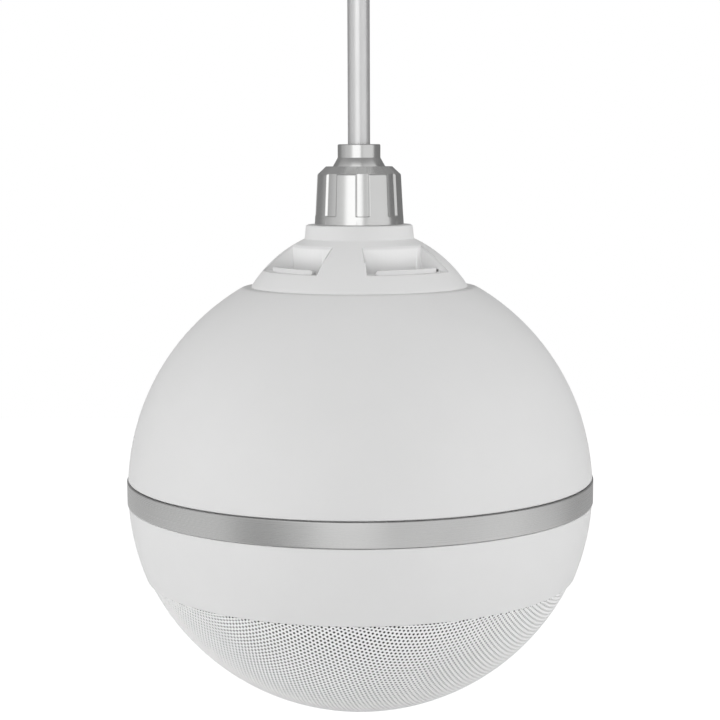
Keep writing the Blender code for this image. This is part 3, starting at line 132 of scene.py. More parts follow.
class Shader:
    # a node tree that starts empty
    def __init__(self, tree):
        self.tree = tree
        tree.nodes.clear()

    def node(self, kind, settings=None, inputs=None, output=0):
        made = self.tree.nodes.new(kind)
        for key, value in (settings or {}).items():
            setattr(made, key, value)
        for key, value in (inputs or {}).items():
            self.feed(made.inputs[key], value)
        return Value(self, made.outputs[output])

    def feed(self, socket, value):
        if isinstance(value, Value):
            self.tree.links.new(value.socket, socket)
        else:
            socket.default_value = value

    def maths(self, operation, *values):
        return self.node("ShaderNodeMath", {"operation": operation}, dict(enumerate(values)))

    def place(self):
        return self.node("ShaderNodeTexCoord", output=3)

    def parts(self, vector):
        split = self.tree.nodes.new("ShaderNodeSeparateXYZ")
        self.feed(split.inputs[0], vector)
        return [Value(self, socket) for socket in split.outputs]

    def join(self, x, y, z):
        return self.node("ShaderNodeCombineXYZ", None, {0: x, 1: y, 2: z})

    def noise(self, vector, scale, detail=2.0, roughness=0.5):
        return self.node("ShaderNodeTexNoise", None, {"Vector": vector, "Scale": scale, "Detail": detail,
                                                      "Roughness": roughness})

    def spread(self, value, low, high):
        # a noise value of about 0.3 to 0.7 becomes low to high
        return self.node("ShaderNodeMapRange", None, {"Value": value, "From Min": 0.3, "From Max": 0.7,
                                                      "To Min": low, "To Max": high})

    def tint(self, share, first, second):
        mixed = self.tree.nodes.new("ShaderNodeMix")
        mixed.data_type = "RGBA"
        self.feed(mixed.inputs["Factor"], share)
        for socket, colour in zip([item for item in mixed.inputs if item.type == "RGBA"], (first, second)):
            socket.default_value = (*colour, 1.0)
        return Value(self, [item for item in mixed.outputs if item.type == "RGBA"][0])

    def bump(self, height, distance, normal=None):
        inputs = {"Height": height, "Distance": distance, "Strength": 1.0}
        if normal is not None:
            inputs["Normal"] = normal
        return self.node("ShaderNodeBump", None, inputs)

    def softEdges(self, radius):
        return self.node("ShaderNodeBevel", {"samples": 6}, {"Radius": radius})

    def ramp(self, value, first, last):
        return self.node("ShaderNodeMapRange", {"interpolation_type": "SMOOTHSTEP"},
                         {"Value": value, "From Min": first, "From Max": last})

    def show(self, kind, surface):
        end = self.tree.nodes.new(kind)
        self.tree.links.new(surface.socket, end.inputs["Surface"])


class Coat(Shader):
    # a procedural material
    def __init__(self, name):
        self.material = bpy.data.materials.new(name)
        self.material.use_nodes = True
        super().__init__(self.material.node_tree)

    def finish(self, **inputs):
        self.show("ShaderNodeOutputMaterial", self.node("ShaderNodeBsdfPrincipled", None, inputs))
        return self.material


# how many features of a pattern there are to the metre
blotchScale = 60.0
wearScale = 180.0


def scaled(colour, factor):
    return tuple(min(1.0, channel * factor) for channel in colour)


def grainyCoat(name, colour, roughness, grain, depth, contrast, roughSwing=0.05, metallic=0.0, shine=0.5):
    coat = Coat(name)
    place = coat.place()
    fine = coat.noise(place, 1.0 / grain, 2.0)
    broad = coat.noise(place, blotchScale, 3.0)
    return coat.finish(**{
        "Base Color": coat.tint(coat.spread(broad, 0.0, 1.0), scaled(colour, 1.0 - contrast),
                                scaled(colour, 1.0 + contrast)),
        "Roughness": coat.spread(coat.noise(place, wearScale, 2.0), roughness - roughSwing,
                                 roughness + roughSwing),
        "Metallic": metallic,
        "Specular IOR Level": shine,
        "Normal": coat.bump(fine, depth)})


def brushedCoat(name, colour, roughness, depth, contrast, roughSwing=0.05):
    # fine turned lines that run round the upright axis
    line = 0.0002
    coat = Coat(name)
    place = coat.place()
    x, y, z = coat.parts(place)
    radius = (x * x + y * y) ** 0.5
    around = coat.maths("ARCTAN2", y, x)
    lines = coat.noise(coat.join(z / line, radius / line, around * 1.4), 1.0, 2.0, 0.6)
    blotch = coat.noise(place, 90.0, 2.0)
    return coat.finish(**{
        "Base Color": coat.tint(coat.spread(blotch, 0.0, 1.0), scaled(colour, 1.0 - contrast), colour),
        "Roughness": coat.spread(lines, roughness - roughSwing, roughness + roughSwing),
        "Metallic": 1.0,
        "Normal": coat.bump(lines, depth)})


def wovenCoat(name, colour, thread, depth, roughness):
    coat = Coat(name)
    place = coat.place()
    x, y = coat.parts(place)[:2]
    beat = 2 * math.pi / thread
    warp = coat.maths("SINE", x * beat)
    weft = coat.maths("SINE", y * beat)
    height = warp * weft
    return coat.finish(**{
        # painted shade and highlight: the colour is darker in the weave's dips and paler on its crests,
        # following the relief
        "Base Color": coat.tint(height * 0.5 + 0.5, scaled(colour, 0.6), scaled(colour, 1.4)),
        "Roughness": coat.spread(coat.noise(place, 400.0), roughness - 0.05, roughness + 0.05),
        "Normal": coat.bump(height, depth)})


def woundCoat(name, colour, pitch, depth, roughness):
    # turns of enamelled wire that run round the piece, one above the other, with painted shade in the grooves
    # between them
    coat = Coat(name)
    place = coat.place()
    height = coat.parts(place)[2]
    turns = coat.maths("ABSOLUTE", coat.maths("SINE", height * (math.pi / pitch)))
    return coat.finish(**{
        # painted shade: the colour falls to about a third of the copper in the grooves between turns
        "Base Color": coat.tint(turns, scaled(colour, 0.35), colour),
        "Roughness": coat.spread(coat.noise(place, 300.0), roughness - 0.06, roughness + 0.08),
        "Metallic": 1.0,
        "Normal": coat.bump(turns, depth)})


def fibreCoat(name, colour, depth, roughness, stretch=(1.0, 1.0, 0.2), scale=500.0):
    coat = Coat(name)
    place = coat.place()
    x, y, z = coat.parts(place)
    along = coat.join(x * stretch[0], y * stretch[1], z * stretch[2])
    fibres = coat.noise(along, scale, 5.0, 0.7)
    return coat.finish(**{
        "Base Color": coat.tint(coat.spread(fibres, 0.0, 1.0), scaled(colour, 0.75), scaled(colour, 1.25)),
        "Roughness": coat.spread(coat.noise(place, 150.0), roughness - 0.08, roughness + 0.05),
        "Normal": coat.bump(fibres, depth)})


whitePlastic = grainyCoat("whitePlastic", (0.71, 0.71, 0.709), 0.48, grain=0.0005, depth=0.000006,
                          contrast=0.006, roughSwing=0.03, shine=0.2)
whitePaint = grainyCoat("whitePaint", (0.87, 0.87, 0.869), 0.48, grain=0.0003, depth=0.000008,
                        contrast=0.01, roughSwing=0.04, shine=0.2)
silver = brushedCoat("satinSilver", (0.66, 0.66, 0.655), 0.28, depth=0.0000008, contrast=0.02,
                     roughSwing=0.02)
glandSilver = brushedCoat("glandSilver", (0.78, 0.78, 0.775), 0.22, depth=0.0000004, contrast=0.02,
                          roughSwing=0.02)
cableGrey = grainyCoat("cableGrey", (0.74, 0.74, 0.74), 0.33, grain=0.0009, depth=0.000006, contrast=0.015,
                       roughSwing=0.03, metallic=0.82)
rubber = grainyCoat("mattRubber", (0.03, 0.03, 0.03), 0.72, grain=0.0006, depth=0.00002, contrast=0.15)
steel = brushedCoat("zincSteel", (0.50, 0.50, 0.52), 0.34, depth=0.000005, contrast=0.15)
nylon = grainyCoat("naturalNylon", (0.78, 0.78, 0.73), 0.48, grain=0.0006, depth=0.00001, contrast=0.02)
redJacket = grainyCoat("redJacket", (0.45, 0.03, 0.03), 0.42, grain=0.0008, depth=0.00001, contrast=0.06)
blackJacket = grainyCoat("blackJacket", (0.02, 0.02, 0.02), 0.42, grain=0.0008, depth=0.00001, contrast=0.2)
ferrite = grainyCoat("ferrite", (0.06, 0.06, 0.062), 0.62, grain=0.0003, depth=0.00003, contrast=0.2)
blackPaper = fibreCoat("pressedPaper", (0.03, 0.03, 0.03), 0.00003, 0.85, (1.0, 1.0, 1.0), 900.0)
board = fibreCoat("fibreBoard", (0.30, 0.22, 0.12), 0.00003, 0.80)
spiderCloth = wovenCoat("stiffenedCloth", (0.45, 0.30, 0.12), 0.0012, 0.00008, 0.80)
blackCloth = wovenCoat("acousticCloth", (0.015, 0.015, 0.015), 0.0006, 0.00006, 0.92)
copper = woundCoat("enamelledCopper", (0.70, 0.33, 0.18), 0.0006, 0.00008, 0.34)
say("materials are ready")


# Mesh building

def sphereLevel(radius, distance):
    return math.sqrt(radius * radius - distance * distance)


def sphereLine(radius, middle, first, last, steps):
    start = math.asin((first - middle) / radius)
    span = math.asin((last - middle) / radius) - start
    angles = [start + span * step / steps for step in range(steps + 1)]
    return [(radius * math.cos(angle), middle + radius * math.sin(angle)) for angle in angles]


def rounded(corners, steps=5):
    # corners are (radius, height), with a third number where the corner has a fillet
    done = []
    for index, corner in enumerate(corners):
        here = np.array(corner[:2])
        if len(corner) < 3:
            done.append(tuple(here))
            continue
        before = np.array(corners[index - 1][:2]) - here
        after = np.array(corners[(index + 1) % len(corners)][:2]) - here
        lengths = np.linalg.norm(before), np.linalg.norm(after)
        before, after = before / lengths[0], after / lengths[1]
        half = math.acos(float(np.clip(before @ after, -1.0, 1.0))) / 2
        reach = min(corner[2] / math.tan(half), 0.48 * lengths[0], 0.48 * lengths[1])
        fillet = reach * math.tan(half)
        middle = here + (before + after) / np.linalg.norm(before + after) * fillet / math.sin(half)
        start, end = here + before * reach - middle, here + after * reach - middle
        angle = math.atan2(start[1], start[0])
        turn = (math.atan2(end[1], end[0]) - angle + math.pi) % (2 * math.pi) - math.pi
        for step in range(steps + 1):
            at = angle + turn * step / steps
            done.append((middle[0] + fillet * math.cos(at), middle[1] + fillet * math.sin(at)))
    return done


def addMesh(name, verts, faces):
    mesh = bpy.data.meshes.new(name)
    mesh.from_pydata(np.asarray(verts).tolist(), [], faces)
    obj = bpy.data.objects.new(name, mesh)
    bpy.context.scene.collection.objects.link(obj)
    return obj


def settle(obj):
    # applies the object's modifiers
    graph = bpy.context.evaluated_depsgraph_get()
    baked = bpy.data.meshes.new_from_object(obj.evaluated_get(graph))
    old = obj.data
    obj.modifiers.clear()
    obj.data = baked
    baked.name = obj.name
    bpy.data.meshes.remove(old)


def smooth(obj, limit=32.0):
    # smooth shading that follows the large faces, with sharp edges over the limit
    form = bmesh.new()
    form.from_mesh(obj.data)
    bmesh.ops.remove_doubles(form, verts=form.verts, dist=1e-7)
    bmesh.ops.recalc_face_normals(form, faces=form.faces)
    form.to_mesh(obj.data)
    form.free()
    obj.data.shade_smooth()
    obj.data.set_sharp_from_angle(angle=math.radians(limit))
    weights = obj.modifiers.new("weights", "WEIGHTED_NORMAL")
    weights.keep_sharp = True
    settle(obj)


def revolved(name, outline, sides, middle=ballMiddle):
    # a closed outline of (radius, height) turned round the upright axis
    line = np.array(outline)
    angles = 2 * np.pi * np.arange(sides) / sides
    verts = np.empty((sides, len(line), 3))
    verts[:, :, 0] = line[None, :, 0] * np.cos(angles)[:, None]
    verts[:, :, 1] = line[None, :, 0] * np.sin(angles)[:, None]
    verts[:, :, 2] = line[None, :, 1] + middle
    count = len(line)
    faces = []
    for side in range(sides):
        near, far = side * count, (side + 1) % sides * count
        for point in range(count):
            following = (point + 1) % count
            if line[point][0] < 1e-9 and line[following][0] < 1e-9:
                continue
            faces.append((near + point, far + point, far + following, near + following))
    return addMesh(name, verts.reshape(-1, 3), faces)


def dress(obj, material, slotName, *nodes):
    obj.data.materials.clear()
    obj.data.materials.append(material)
    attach(obj, body)
    if nodes:
        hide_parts(*nodes)
    return obj


def cut(obj, form, middle=ballMiddle):
    # takes a closed bmesh out of an object
    mesh = bpy.data.meshes.new("cutter")
    bmesh.ops.recalc_face_normals(form, faces=form.faces)
    bmesh.ops.translate(form, verts=form.verts, vec=(0.0, 0.0, middle))
    form.to_mesh(mesh)
    form.free()
    cutter = bpy.data.objects.new("cutter", mesh)
    bpy.context.scene.collection.objects.link(cutter)
    step = obj.modifiers.new("cut", "BOOLEAN")
    step.operation = "DIFFERENCE"
    step.solver = "EXACT"
    step.object = cutter
    settle(obj)
    bpy.data.objects.remove(cutter)
    bpy.data.meshes.remove(mesh)


def prism(corners, low, high):
    form = bmesh.new()
    bottom = [form.verts.new((x, y, low)) for x, y in corners]
    top = [form.verts.new((x, y, high)) for x, y in corners]
    form.faces.new(bottom[::-1])
    form.faces.new(top)
    for index in range(len(corners)):
        following = (index + 1) % len(corners)
        form.faces.new((bottom[index], bottom[following], top[following], top[index]))
    return form


def turnForm(form, angle, axis="Z"):
    bmesh.ops.rotate(form, verts=form.verts, cent=(0.0, 0.0, 0.0), matrix=Matrix.Rotation(angle, 3, axis))
    return form


def merge(obj, other):
    # adds the other object's mesh to the first one's
    form = bmesh.new()
    for source in (obj, other):
        form.from_mesh(source.data)
    form.to_mesh(obj.data)
    form.free()
    bpy.data.objects.remove(other)


# Camera

view = dict(lens=86.06, shift=0.00031, distance=0.71795, level=-0.11106, dip=0.1185, roll=-0.0036)
camera = bpy.data.objects.new("camera", bpy.data.cameras.new("camera"))
camera.data.sensor_width = 36.0
camera.data.lens = view["lens"]
camera.data.shift_x = view["shift"]
camera.data.clip_start = 0.01
camera.matrix_world = (Matrix.Translation((0.0, -view["distance"], view["level"]))
                       @ Matrix.Rotation(math.pi / 2 - view["dip"], 4, "X")
                       @ Matrix.Rotation(view["roll"], 4, "Z"))
bpy.context.scene.collection.objects.link(camera)
bpy.context.scene.camera = camera


# Suspension cable

cable = dict(radius=0.0046, exitHeight=neckTop, points=24)
cableLow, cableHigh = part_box("suspension_cable")
line = bpy.data.curves.new("suspensionCable", "CURVE")
line.dimensions = "3D"
line.bevel_depth = cable["radius"]
line.bevel_resolution = 12
line.use_fill_caps = True
spline = line.splines.new("POLY")
spline.points.add(cable["points"] - 1)
for index, point in enumerate(spline.points):
    share = index / (cable["points"] - 1)
    point.co = (0.0, 0.0, cableLow.z + (cableHigh.z - cableLow.z) * share, 1.0)
suspensionCable = bpy.data.objects.new("suspensionCable", line)
bpy.context.scene.collection.objects.link(suspensionCable)
line.splines[0].use_smooth = True
dress(suspensionCable, cableGrey, "cable_grey", "suspension_cable")


# Ceiling rose

rose = dict(radius=0.0440, depth=0.0275, wall=0.0020, side=0.0120, sides=128, hole=0.0071, kneeShare=0.86,
            footShare=0.34, screwHole=0.0019, screwReach=0.06)
knee = rose["kneeShare"] * rose["radius"]
foot = rose["footShare"] * rose["radius"]
kneeLevel = -(rose["side"] + rose["depth"]) / 2
outline = rounded([
    (rose["radius"], -seatGap, 0.0004), (rose["radius"], -rose["side"], 0.0040), (knee, kneeLevel, 0.0120),
    (foot, -rose["depth"], 0.0030), (rose["hole"], -rose["depth"], 0.0003),
    (rose["hole"], rose["wall"] - rose["depth"]), (foot - rose["wall"] / 3, rose["wall"] - rose["depth"]),
    (knee - rose["wall"], kneeLevel + 0.6 * rose["wall"]),
    (rose["radius"] - rose["wall"], 0.3 * rose["wall"] - rose["side"]),
    (rose["radius"] - rose["wall"], -seatGap, 0.0002)], 8)
ceilingCover = revolved("ceilingCover", outline, rose["sides"], 0.0)
angles = [step * math.pi / 16 for step in range(32)]
circle = [(rose["screwHole"] * math.cos(angle), rose["screwHole"] * math.sin(angle)) for angle in angles]
screwHole = turnForm(prism(circle, -rose["screwReach"], rose["screwReach"]), math.pi / 2, "X")
screwLow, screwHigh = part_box("cover_screw_1")
cut(ceilingCover, screwHole, (screwLow.z + screwHigh.z) / 2)
smooth(ceilingCover)
dress(ceilingCover, whitePlastic, "white_plastic", "ceiling_cover")

grip = dict(radius=0.0100, top=-0.0278, sideFoot=-0.0340, tip=0.00685, bore=0.00495, thread=0.00665,
            sides=64)
gripLow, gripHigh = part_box("cord_grip")
outline = rounded([
    (grip["radius"], grip["top"], 0.0004), (grip["radius"], grip["sideFoot"], 0.0012),
    (grip["tip"], gripLow.z, 0.0006), (grip["bore"], gripLow.z, 0.0002), (grip["bore"], gripHigh.z),
    (grip["thread"], gripHigh.z), (grip["thread"], grip["top"])], 6)
cordGrip = revolved("cordGrip", outline, grip["sides"], 0.0)
smooth(cordGrip)
dress(cordGrip, whitePlastic, "white_plastic", "cord_grip")

screw = dict(headHeight=0.0018, slotHalf=0.00035, slotReach=0.0016, slotDepth=0.0010, shank=0.0015,
             tip=0.00105, tipHeight=0.0006, headSides=40, shankSides=24)


def panScrew(name, node, side):
    # a pan head with a cross recess, seated where the plain screw's head is, with side -1 for the front
    low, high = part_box(node)
    headFace = high.y if side > 0 else low.y
    radius = (high.z - low.z) / 2
    tall = screw["headHeight"]
    outline = rounded([(0.0, 0.0), (radius, 0.0, 0.0001), (radius, 0.45 * tall, 0.0004),
                       (0.62 * radius, tall - 0.0001, 0.0012), (0.0, tall)], 6)
    head = revolved(name, outline, screw["headSides"], 0.0)
    half = screw["slotHalf"]
    reach = screw["slotReach"]
    for turn in (0.0, math.pi / 2):
        arm = prism([(-half, -reach), (half, -reach), (half, reach), (-half, reach)],
                    tall - screw["slotDepth"], tall + 0.001)
        cut(head, turnForm(arm, turn), 0.0)
    smooth(head, 40.0)
    length = abs(high.y - low.y) - tall
    outline = [(0.0, -length), (screw["tip"], -length), (screw["shank"], screw["tipHeight"] - length),
               (screw["shank"], 0.0), (0.0, 0.0)]
    shank = revolved(name + "Shank", outline, screw["shankSides"], 0.0)
    smooth(shank)
    merge(head, shank)
    turn = Matrix.Rotation(-side * math.pi / 2, 4, "X")
    seat = Vector(((low.x + high.x) / 2, headFace - side * tall, (low.z + high.z) / 2))
    head.data.transform(Matrix.Translation(seat) @ turn)
    smooth(head, 40.0)
    return dress(head, steel, "steel", node)


coverScrews = [panScrew("coverScrewFront", "cover_screw_1", -1),
               panScrew("coverScrewBack", "cover_screw_2", 1)]
say("cable and rose are done")


# Shells of the ball

trim = dict(depth=0.0014, edge=0.00035)
shell = dict(sides=256, seatThickness=0.0030, rimDrop=0.0363, flange=0.0039, flangeWidth=0.0077, joint=0.0009,
             edge=0.0004, rimEdge=0.0003, seatEdge=0.0040, seatEdgeRoom=0.0012, ledgeWidth=0.0095,
             ledgeThickness=0.0030)
trimInner = trimRadius - trim["depth"]
rebate = trimInner - seatGap
flangeInner = innerRadius - shell["flangeWidth"]
seatRim = sphereLevel(ballRadius, seatLevel)
trimEdge = trimHalf + seatGap
outside = sphereLine(ballRadius, 0.0, trimEdge, seatLevel - shell["seatEdgeRoom"], 90)
inside = sphereLine(innerRadius, 0.0, seatLevel - shell["seatThickness"], shell["flange"], 24)
outline = rounded([
    (rebate, shell["joint"]), (rebate, trimEdge), (*outside[0], shell["edge"]), *outside[1:],
    (seatRim, seatLevel, shell["seatEdge"]), (lockInner, seatLevel),
    (lockInner, seatLevel - shell["seatThickness"]), *inside, (flangeInner, shell["flange"]),
    (flangeInner, shell["joint"])])
upperShell = revolved("upperShell", outline, shell["sides"])
smooth(upperShell)
dress(upperShell, whitePlastic, "white_plastic", "upper_shell")

rimRadius = sphereLevel(ballRadius, shell["rimDrop"])
ledgeInner = rimRadius - shell["ledgeWidth"]
ledgeTop = shell["ledgeThickness"] - shell["rimDrop"]
outside = sphereLine(ballRadius, 0.0, -shell["rimDrop"], -trimEdge, 40)
inside = sphereLine(innerRadius, 0.0, -shell["flange"], ledgeTop, 16)
outline = rounded([
    (*outside[0], shell["rimEdge"]), *outside[1:-1], (*outside[-1], shell["edge"]), (rebate, -trimEdge),
    (rebate, -shell["joint"]), (flangeInner, -shell["joint"]), (flangeInner, -shell["flange"]), *inside,
    (ledgeInner, ledgeTop), (ledgeInner, -shell["rimDrop"])])
lowerShell = revolved("lowerShell", outline, shell["sides"])
smooth(lowerShell)
dress(lowerShell, whitePlastic, "white_plastic", "lower_shell")

outline = rounded([(trimInner, -trimHalf), (trimRadius, -trimHalf, trim["edge"]),
                   (trimRadius, trimHalf, trim["edge"]), (trimInner, trimHalf)], 6)
trimRing = revolved("trimRing", outline, shell["sides"])
smooth(trimRing)
dress(trimRing, silver, "silver", "trim_ring")
say("shells and trim ring are done")


# Perforated dome

grille = dict(shoulderInset=0.00216, shoulderHeight=0.0026, shoulderBend=0.0012, rimInset=0.00025,
              rimBend=0.0005, rimWidth=0.0030, rimSink=0.0001, sheet=0.0008, gap=0.00004, pitch=0.00203,
              hole=0.00059, holeDepth=0.0002, holeSides=12, turn=math.radians(17.0), perforatedRim=0.0042,
              wedges=3, rimSides=192)
rimInner = ledgeInner + seatGap
rimTop = -shell["rimDrop"] - grille["gap"]
shoulderRadius = rimRadius - grille["shoulderInset"]
shoulderFoot = rimTop - grille["shoulderHeight"]
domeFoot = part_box("grille")[0].z - ballMiddle
domeDepth = shoulderFoot - domeFoot
domeRadius = (shoulderRadius ** 2 + domeDepth ** 2) / (2 * domeDepth)
domeMiddle = domeFoot + domeRadius


def sheetLine():
    # the dome's section from its lowest point out, over the shoulder and in along the rim
    dome = sphereLine(domeRadius, domeMiddle, domeMiddle - domeRadius * 0.9999999, shoulderFoot, 160)
    dome[0] = (0.0, domeMiddle - domeRadius)
    bend = rounded([dome[-2], (*dome[-1], grille["shoulderBend"]),
                    (rimRadius - grille["rimInset"], rimTop, grille["rimBend"]), (rimInner, rimTop)], 8)
    return np.array(dome[:-1] + bend[1:])


def sheetTable():
    # lengths along the section, with its points and outward normals
    points = sheetLine()
    steps = np.diff(points, axis=0)
    lengths = np.linalg.norm(steps, axis=1)
    normals = np.stack([steps[:, 1], -steps[:, 0]], 1) / lengths[:, None]
    weighted = normals * lengths[:, None]
    atPoints = np.vstack([[0.0, -1.0], weighted[:-1] + weighted[1:], normals[-1]])
    atPoints /= np.linalg.norm(atPoints, axis=1)[:, None]
    reach = np.concatenate([[0.0], np.cumsum(lengths)])
    return reach, points, atPoints


sheetReach, sheetPoints, sheetNormals = sheetTable()


def onSheet(flat, sink=0.0):
    # flat places on the unrolled sheet become places and normals on the drawn one
    reach = np.linalg.norm(flat, axis=1)
    across = flat / np.maximum(reach, 1e-9)[:, None]
    radius, height, outward, upward = (np.interp(reach, sheetReach, column) for column in
                                       (*sheetPoints.T, *sheetNormals.T))
    radius, height = radius - sink * outward, height - sink * upward
    places = np.column_stack([across * radius[:, None], height + ballMiddle])
    return places, np.column_stack([across * outward[:, None], upward])


def perforatedDome():
    first = np.array([math.cos(grille["turn"]), math.sin(grille["turn"])]) * grille["pitch"]
    angle = grille["turn"] + math.pi / 3
    second = np.array([math.cos(angle), math.sin(angle)]) * grille["pitch"]
    count = int(sheetReach[-1] / grille["pitch"] * 1.3)
    grid = np.arange(-count, count + 1)
    i, j = (axis.ravel() for axis in np.meshgrid(grid, grid))
    centres = i[:, None] * first + j[:, None] * second
    shoulder = sheetReach[np.argmax(sheetPoints[:, 0])]
    centres = centres[np.linalg.norm(centres, axis=1) < shoulder + grille["perforatedRim"]]
    corners = grille["turn"] + math.pi / 6 + np.arange(6) * math.pi / 3
    hexagon = np.column_stack([np.cos(corners), np.sin(corners)]) * grille["pitch"] / math.sqrt(3)
    spots = grille["turn"] + math.pi / 6 + np.arange(grille["holeSides"]) * 2 * math.pi / grille["holeSides"]
    circle = np.column_stack([np.cos(spots), np.sin(spots)]) * grille["hole"]
    azimuths = np.arctan2(centres[:, 0], -centres[:, 1])
    share = azimuths / (2 * math.pi) + 0.5 + 0.5 / grille["wedges"]
    wedges = np.floor(share * grille["wedges"]) % grille["wedges"]
    return [perforatedWedge(f"grilleSheet{wedge + 1}", centres[wedges == wedge], hexagon, circle)
            for wedge in range(grille["wedges"])]


def perforatedWedge(name, centres, hexagon, circle):
    # each hole stands in a hexagon that shares its corners with the next ones
    cells = len(centres)
    sides = len(circle)
    allCorners = (centres[:, None, :] + hexagon[None]).reshape(-1, 2)
    shared, where = np.unique(np.round(allCorners * 1e7).astype(np.int64), axis=0, return_inverse=True)
    cornerIds = where.reshape(cells, 6)
    cornerFlat = shared / 1e7
    holeFlat = (centres[:, None, :] + circle[None]).reshape(-1, 2)
    cornerPlaces, cornerNormals = onSheet(cornerFlat)
    rimPlaces, rimNormals = onSheet(holeFlat)
    lowPlaces, _ = onSheet(holeFlat, grille["holeDepth"])
    centrePlaces, _ = onSheet(centres)
    inward = np.repeat(centrePlaces, sides, axis=0) - rimPlaces
    inward /= np.linalg.norm(inward, axis=1)[:, None]
    verts = np.vstack([cornerPlaces, rimPlaces, rimPlaces, lowPlaces])
    normals = np.vstack([cornerNormals, rimNormals, inward, inward])
    firstRim = len(cornerPlaces)
    ids = np.arange(cells) * sides
    per = sides // 6
    tris = []
    for k in range(6):
        a, b = cornerIds[:, k], cornerIds[:, (k + 1) % 6]
        h = [firstRim + ids + (k * per + step) % sides for step in range(per + 1)]
        middle = (per + 1) // 2
        for step in range(middle):
            tris.append(np.column_stack([a, h[step], h[step + 1]]))
        tris.append(np.column_stack([a, h[middle], b]))
        for step in range(middle, per):
            tris.append(np.column_stack([b, h[step], h[step + 1]]))
    top = firstRim + len(rimPlaces)
    low = top + len(rimPlaces)
    quads = []
    for step in range(sides):
        following = (step + 1) % sides
        quads.append(np.column_stack([ids + top + step, ids + low + step, ids + low + following,
                                      ids + top + following]))
    tris, quads = np.vstack(tris), np.vstack(quads)
    mesh = bpy.data.meshes.new(name)
    loops = np.concatenate([tris.ravel(), quads.ravel()]).astype(np.int32)
    sizes = np.concatenate([np.full(len(tris), 3), np.full(len(quads), 4)]).astype(np.int32)
    starts = np.concatenate([[0], np.cumsum(sizes)[:-1]]).astype(np.int32)
    mesh.vertices.add(len(verts))
    mesh.vertices.foreach_set("co", verts.astype(np.float32).ravel())
    mesh.loops.add(len(loops))
    mesh.loops.foreach_set("vertex_index", loops)
    mesh.polygons.add(len(sizes))
    mesh.polygons.foreach_set("loop_start", starts)
    mesh.polygons.foreach_set("loop_total", sizes)
    mesh.update(calc_edges=True)
    mesh.shade_smooth()
    mesh.normals_split_custom_set_from_vertices(normals.tolist())
    obj = bpy.data.objects.new(name, mesh)
    bpy.context.scene.collection.objects.link(obj)
    say(f"{name} has {cells} holes and {len(tris) + 2 * len(quads)} triangles")
    return obj


for wedge in perforatedDome():
    dress(wedge, whitePaint, "white_paint", "grille")

rimLow = rimTop - grille["sheet"]
rimHigh = rimTop - grille["rimSink"]
rimOuter = rimRadius - grille["rimWidth"]
outline = [(rimInner, rimLow), (rimOuter, rimLow), (rimOuter, rimHigh), (rimInner, rimHigh)]
grilleRim = revolved("grilleRim", outline, grille["rimSides"])
smooth(grilleRim)
dress(grilleRim, whitePaint, "white_paint", "grille")

cloth = dict(gap=0.0012, thickness=0.0005, lift=0.0004, sides=128)
clothOuter = domeRadius - grille["sheet"] - cloth["gap"]
clothInner = clothOuter - cloth["thickness"]
clothEdge = shoulderFoot + cloth["lift"]
outer = sphereLine(clothOuter, domeMiddle, domeMiddle - clothOuter * 0.999999, clothEdge, 48)
inner = sphereLine(clothInner, domeMiddle, clothEdge, domeMiddle - clothInner * 0.999999, 48)
outer[0] = (0.0, outer[0][1])
inner[-1] = (0.0, inner[-1][1])
grilleCloth = revolved("grilleCloth", outer + inner, cloth["sides"])
smooth(grilleCloth)
dress(grilleCloth, blackCloth, "black_cloth", "grille_cloth")
say("grille is done")


# Top cap

cap = dict(sides=192, hollowSides=64, domeRise=0.01973, collarRadius=0.02275, collarHeight=0.00577,
           collarTaper=0.00055, footEdge=0.0001, collarEdge=0.0005, topEdge=0.0010, wall=0.0024, roof=0.0025,
           spigotRadius=0.0124, spigotHeight=0.0113, spigotEdge=0.0003, bore=0.0094,
           windows=4, windowTurn=math.radians(34.6), backRadius=0.0274, halfAngle=math.radians(32.2),
           splay=math.radians(26.0), cornerEdge=0.0004, mouthRoom=0.001, floorRise=0.0067, windowWall=0.0019,
           barInset=0.0036, barWidth=0.0026, barHeight=0.00225, barHalf=math.radians(24.3), barSink=0.0004,
           barEdge=0.0003, clearance=0.00035)
capDomeTop = capBase + cap["domeRise"]
capMiddle = ((cap["collarRadius"] ** 2 + capDomeTop ** 2 - capFootRadius ** 2 - capBase ** 2)
             / (2 * (capDomeTop - capBase)))
capRadius = math.hypot(capFootRadius, capBase - capMiddle)
capFoot = capBase - footDrop
capTop = capDomeTop + cap["collarHeight"]
capTopRadius = cap["collarRadius"] - cap["collarTaper"]
spigotTop = capTop + cap["spigotHeight"]
dome = sphereLine(capRadius, capMiddle, capBase, capDomeTop, 40)
outline = rounded([
    (capFootRadius, capFoot, cap["footEdge"]), *dome[1:-1], (*dome[-1], cap["collarEdge"]),
    (capTopRadius, capTop, cap["topEdge"]), (cap["spigotRadius"], capTop, cap["spigotEdge"]),
    (cap["spigotRadius"], spigotTop, cap["spigotEdge"]), (cap["bore"], spigotTop), (cap["bore"], capFoot)])
topCap = revolved("topCap", outline, cap["sides"])


def arcPoints(radius, half, steps):
    angles = [half * (2 * step / steps - 1) for step in range(steps + 1)]
    return [(radius * math.sin(angle), -radius * math.cos(angle)) for angle in angles]


def windowOutline(wall=0.0, steps=24):
    side = cap["backRadius"] * math.sin(cap["halfAngle"]) + wall / math.cos(cap["splay"])
    depth = cap["backRadius"] * math.cos(cap["halfAngle"])
    backRadius = cap["backRadius"] - wall
    backSide = side - wall * math.tan(cap["splay"])
    front = capFootRadius + cap["mouthRoom"]
    mouth = side + (front - depth) * math.tan(cap["splay"])
    back = arcPoints(backRadius, math.asin(backSide / backRadius), steps)
    corners = [(-mouth, -front), (*back[0], cap["cornerEdge"]), *back[1:-1], (*back[-1], cap["cornerEdge"]),
               (mouth, -front)]
    return rounded(corners, 4)


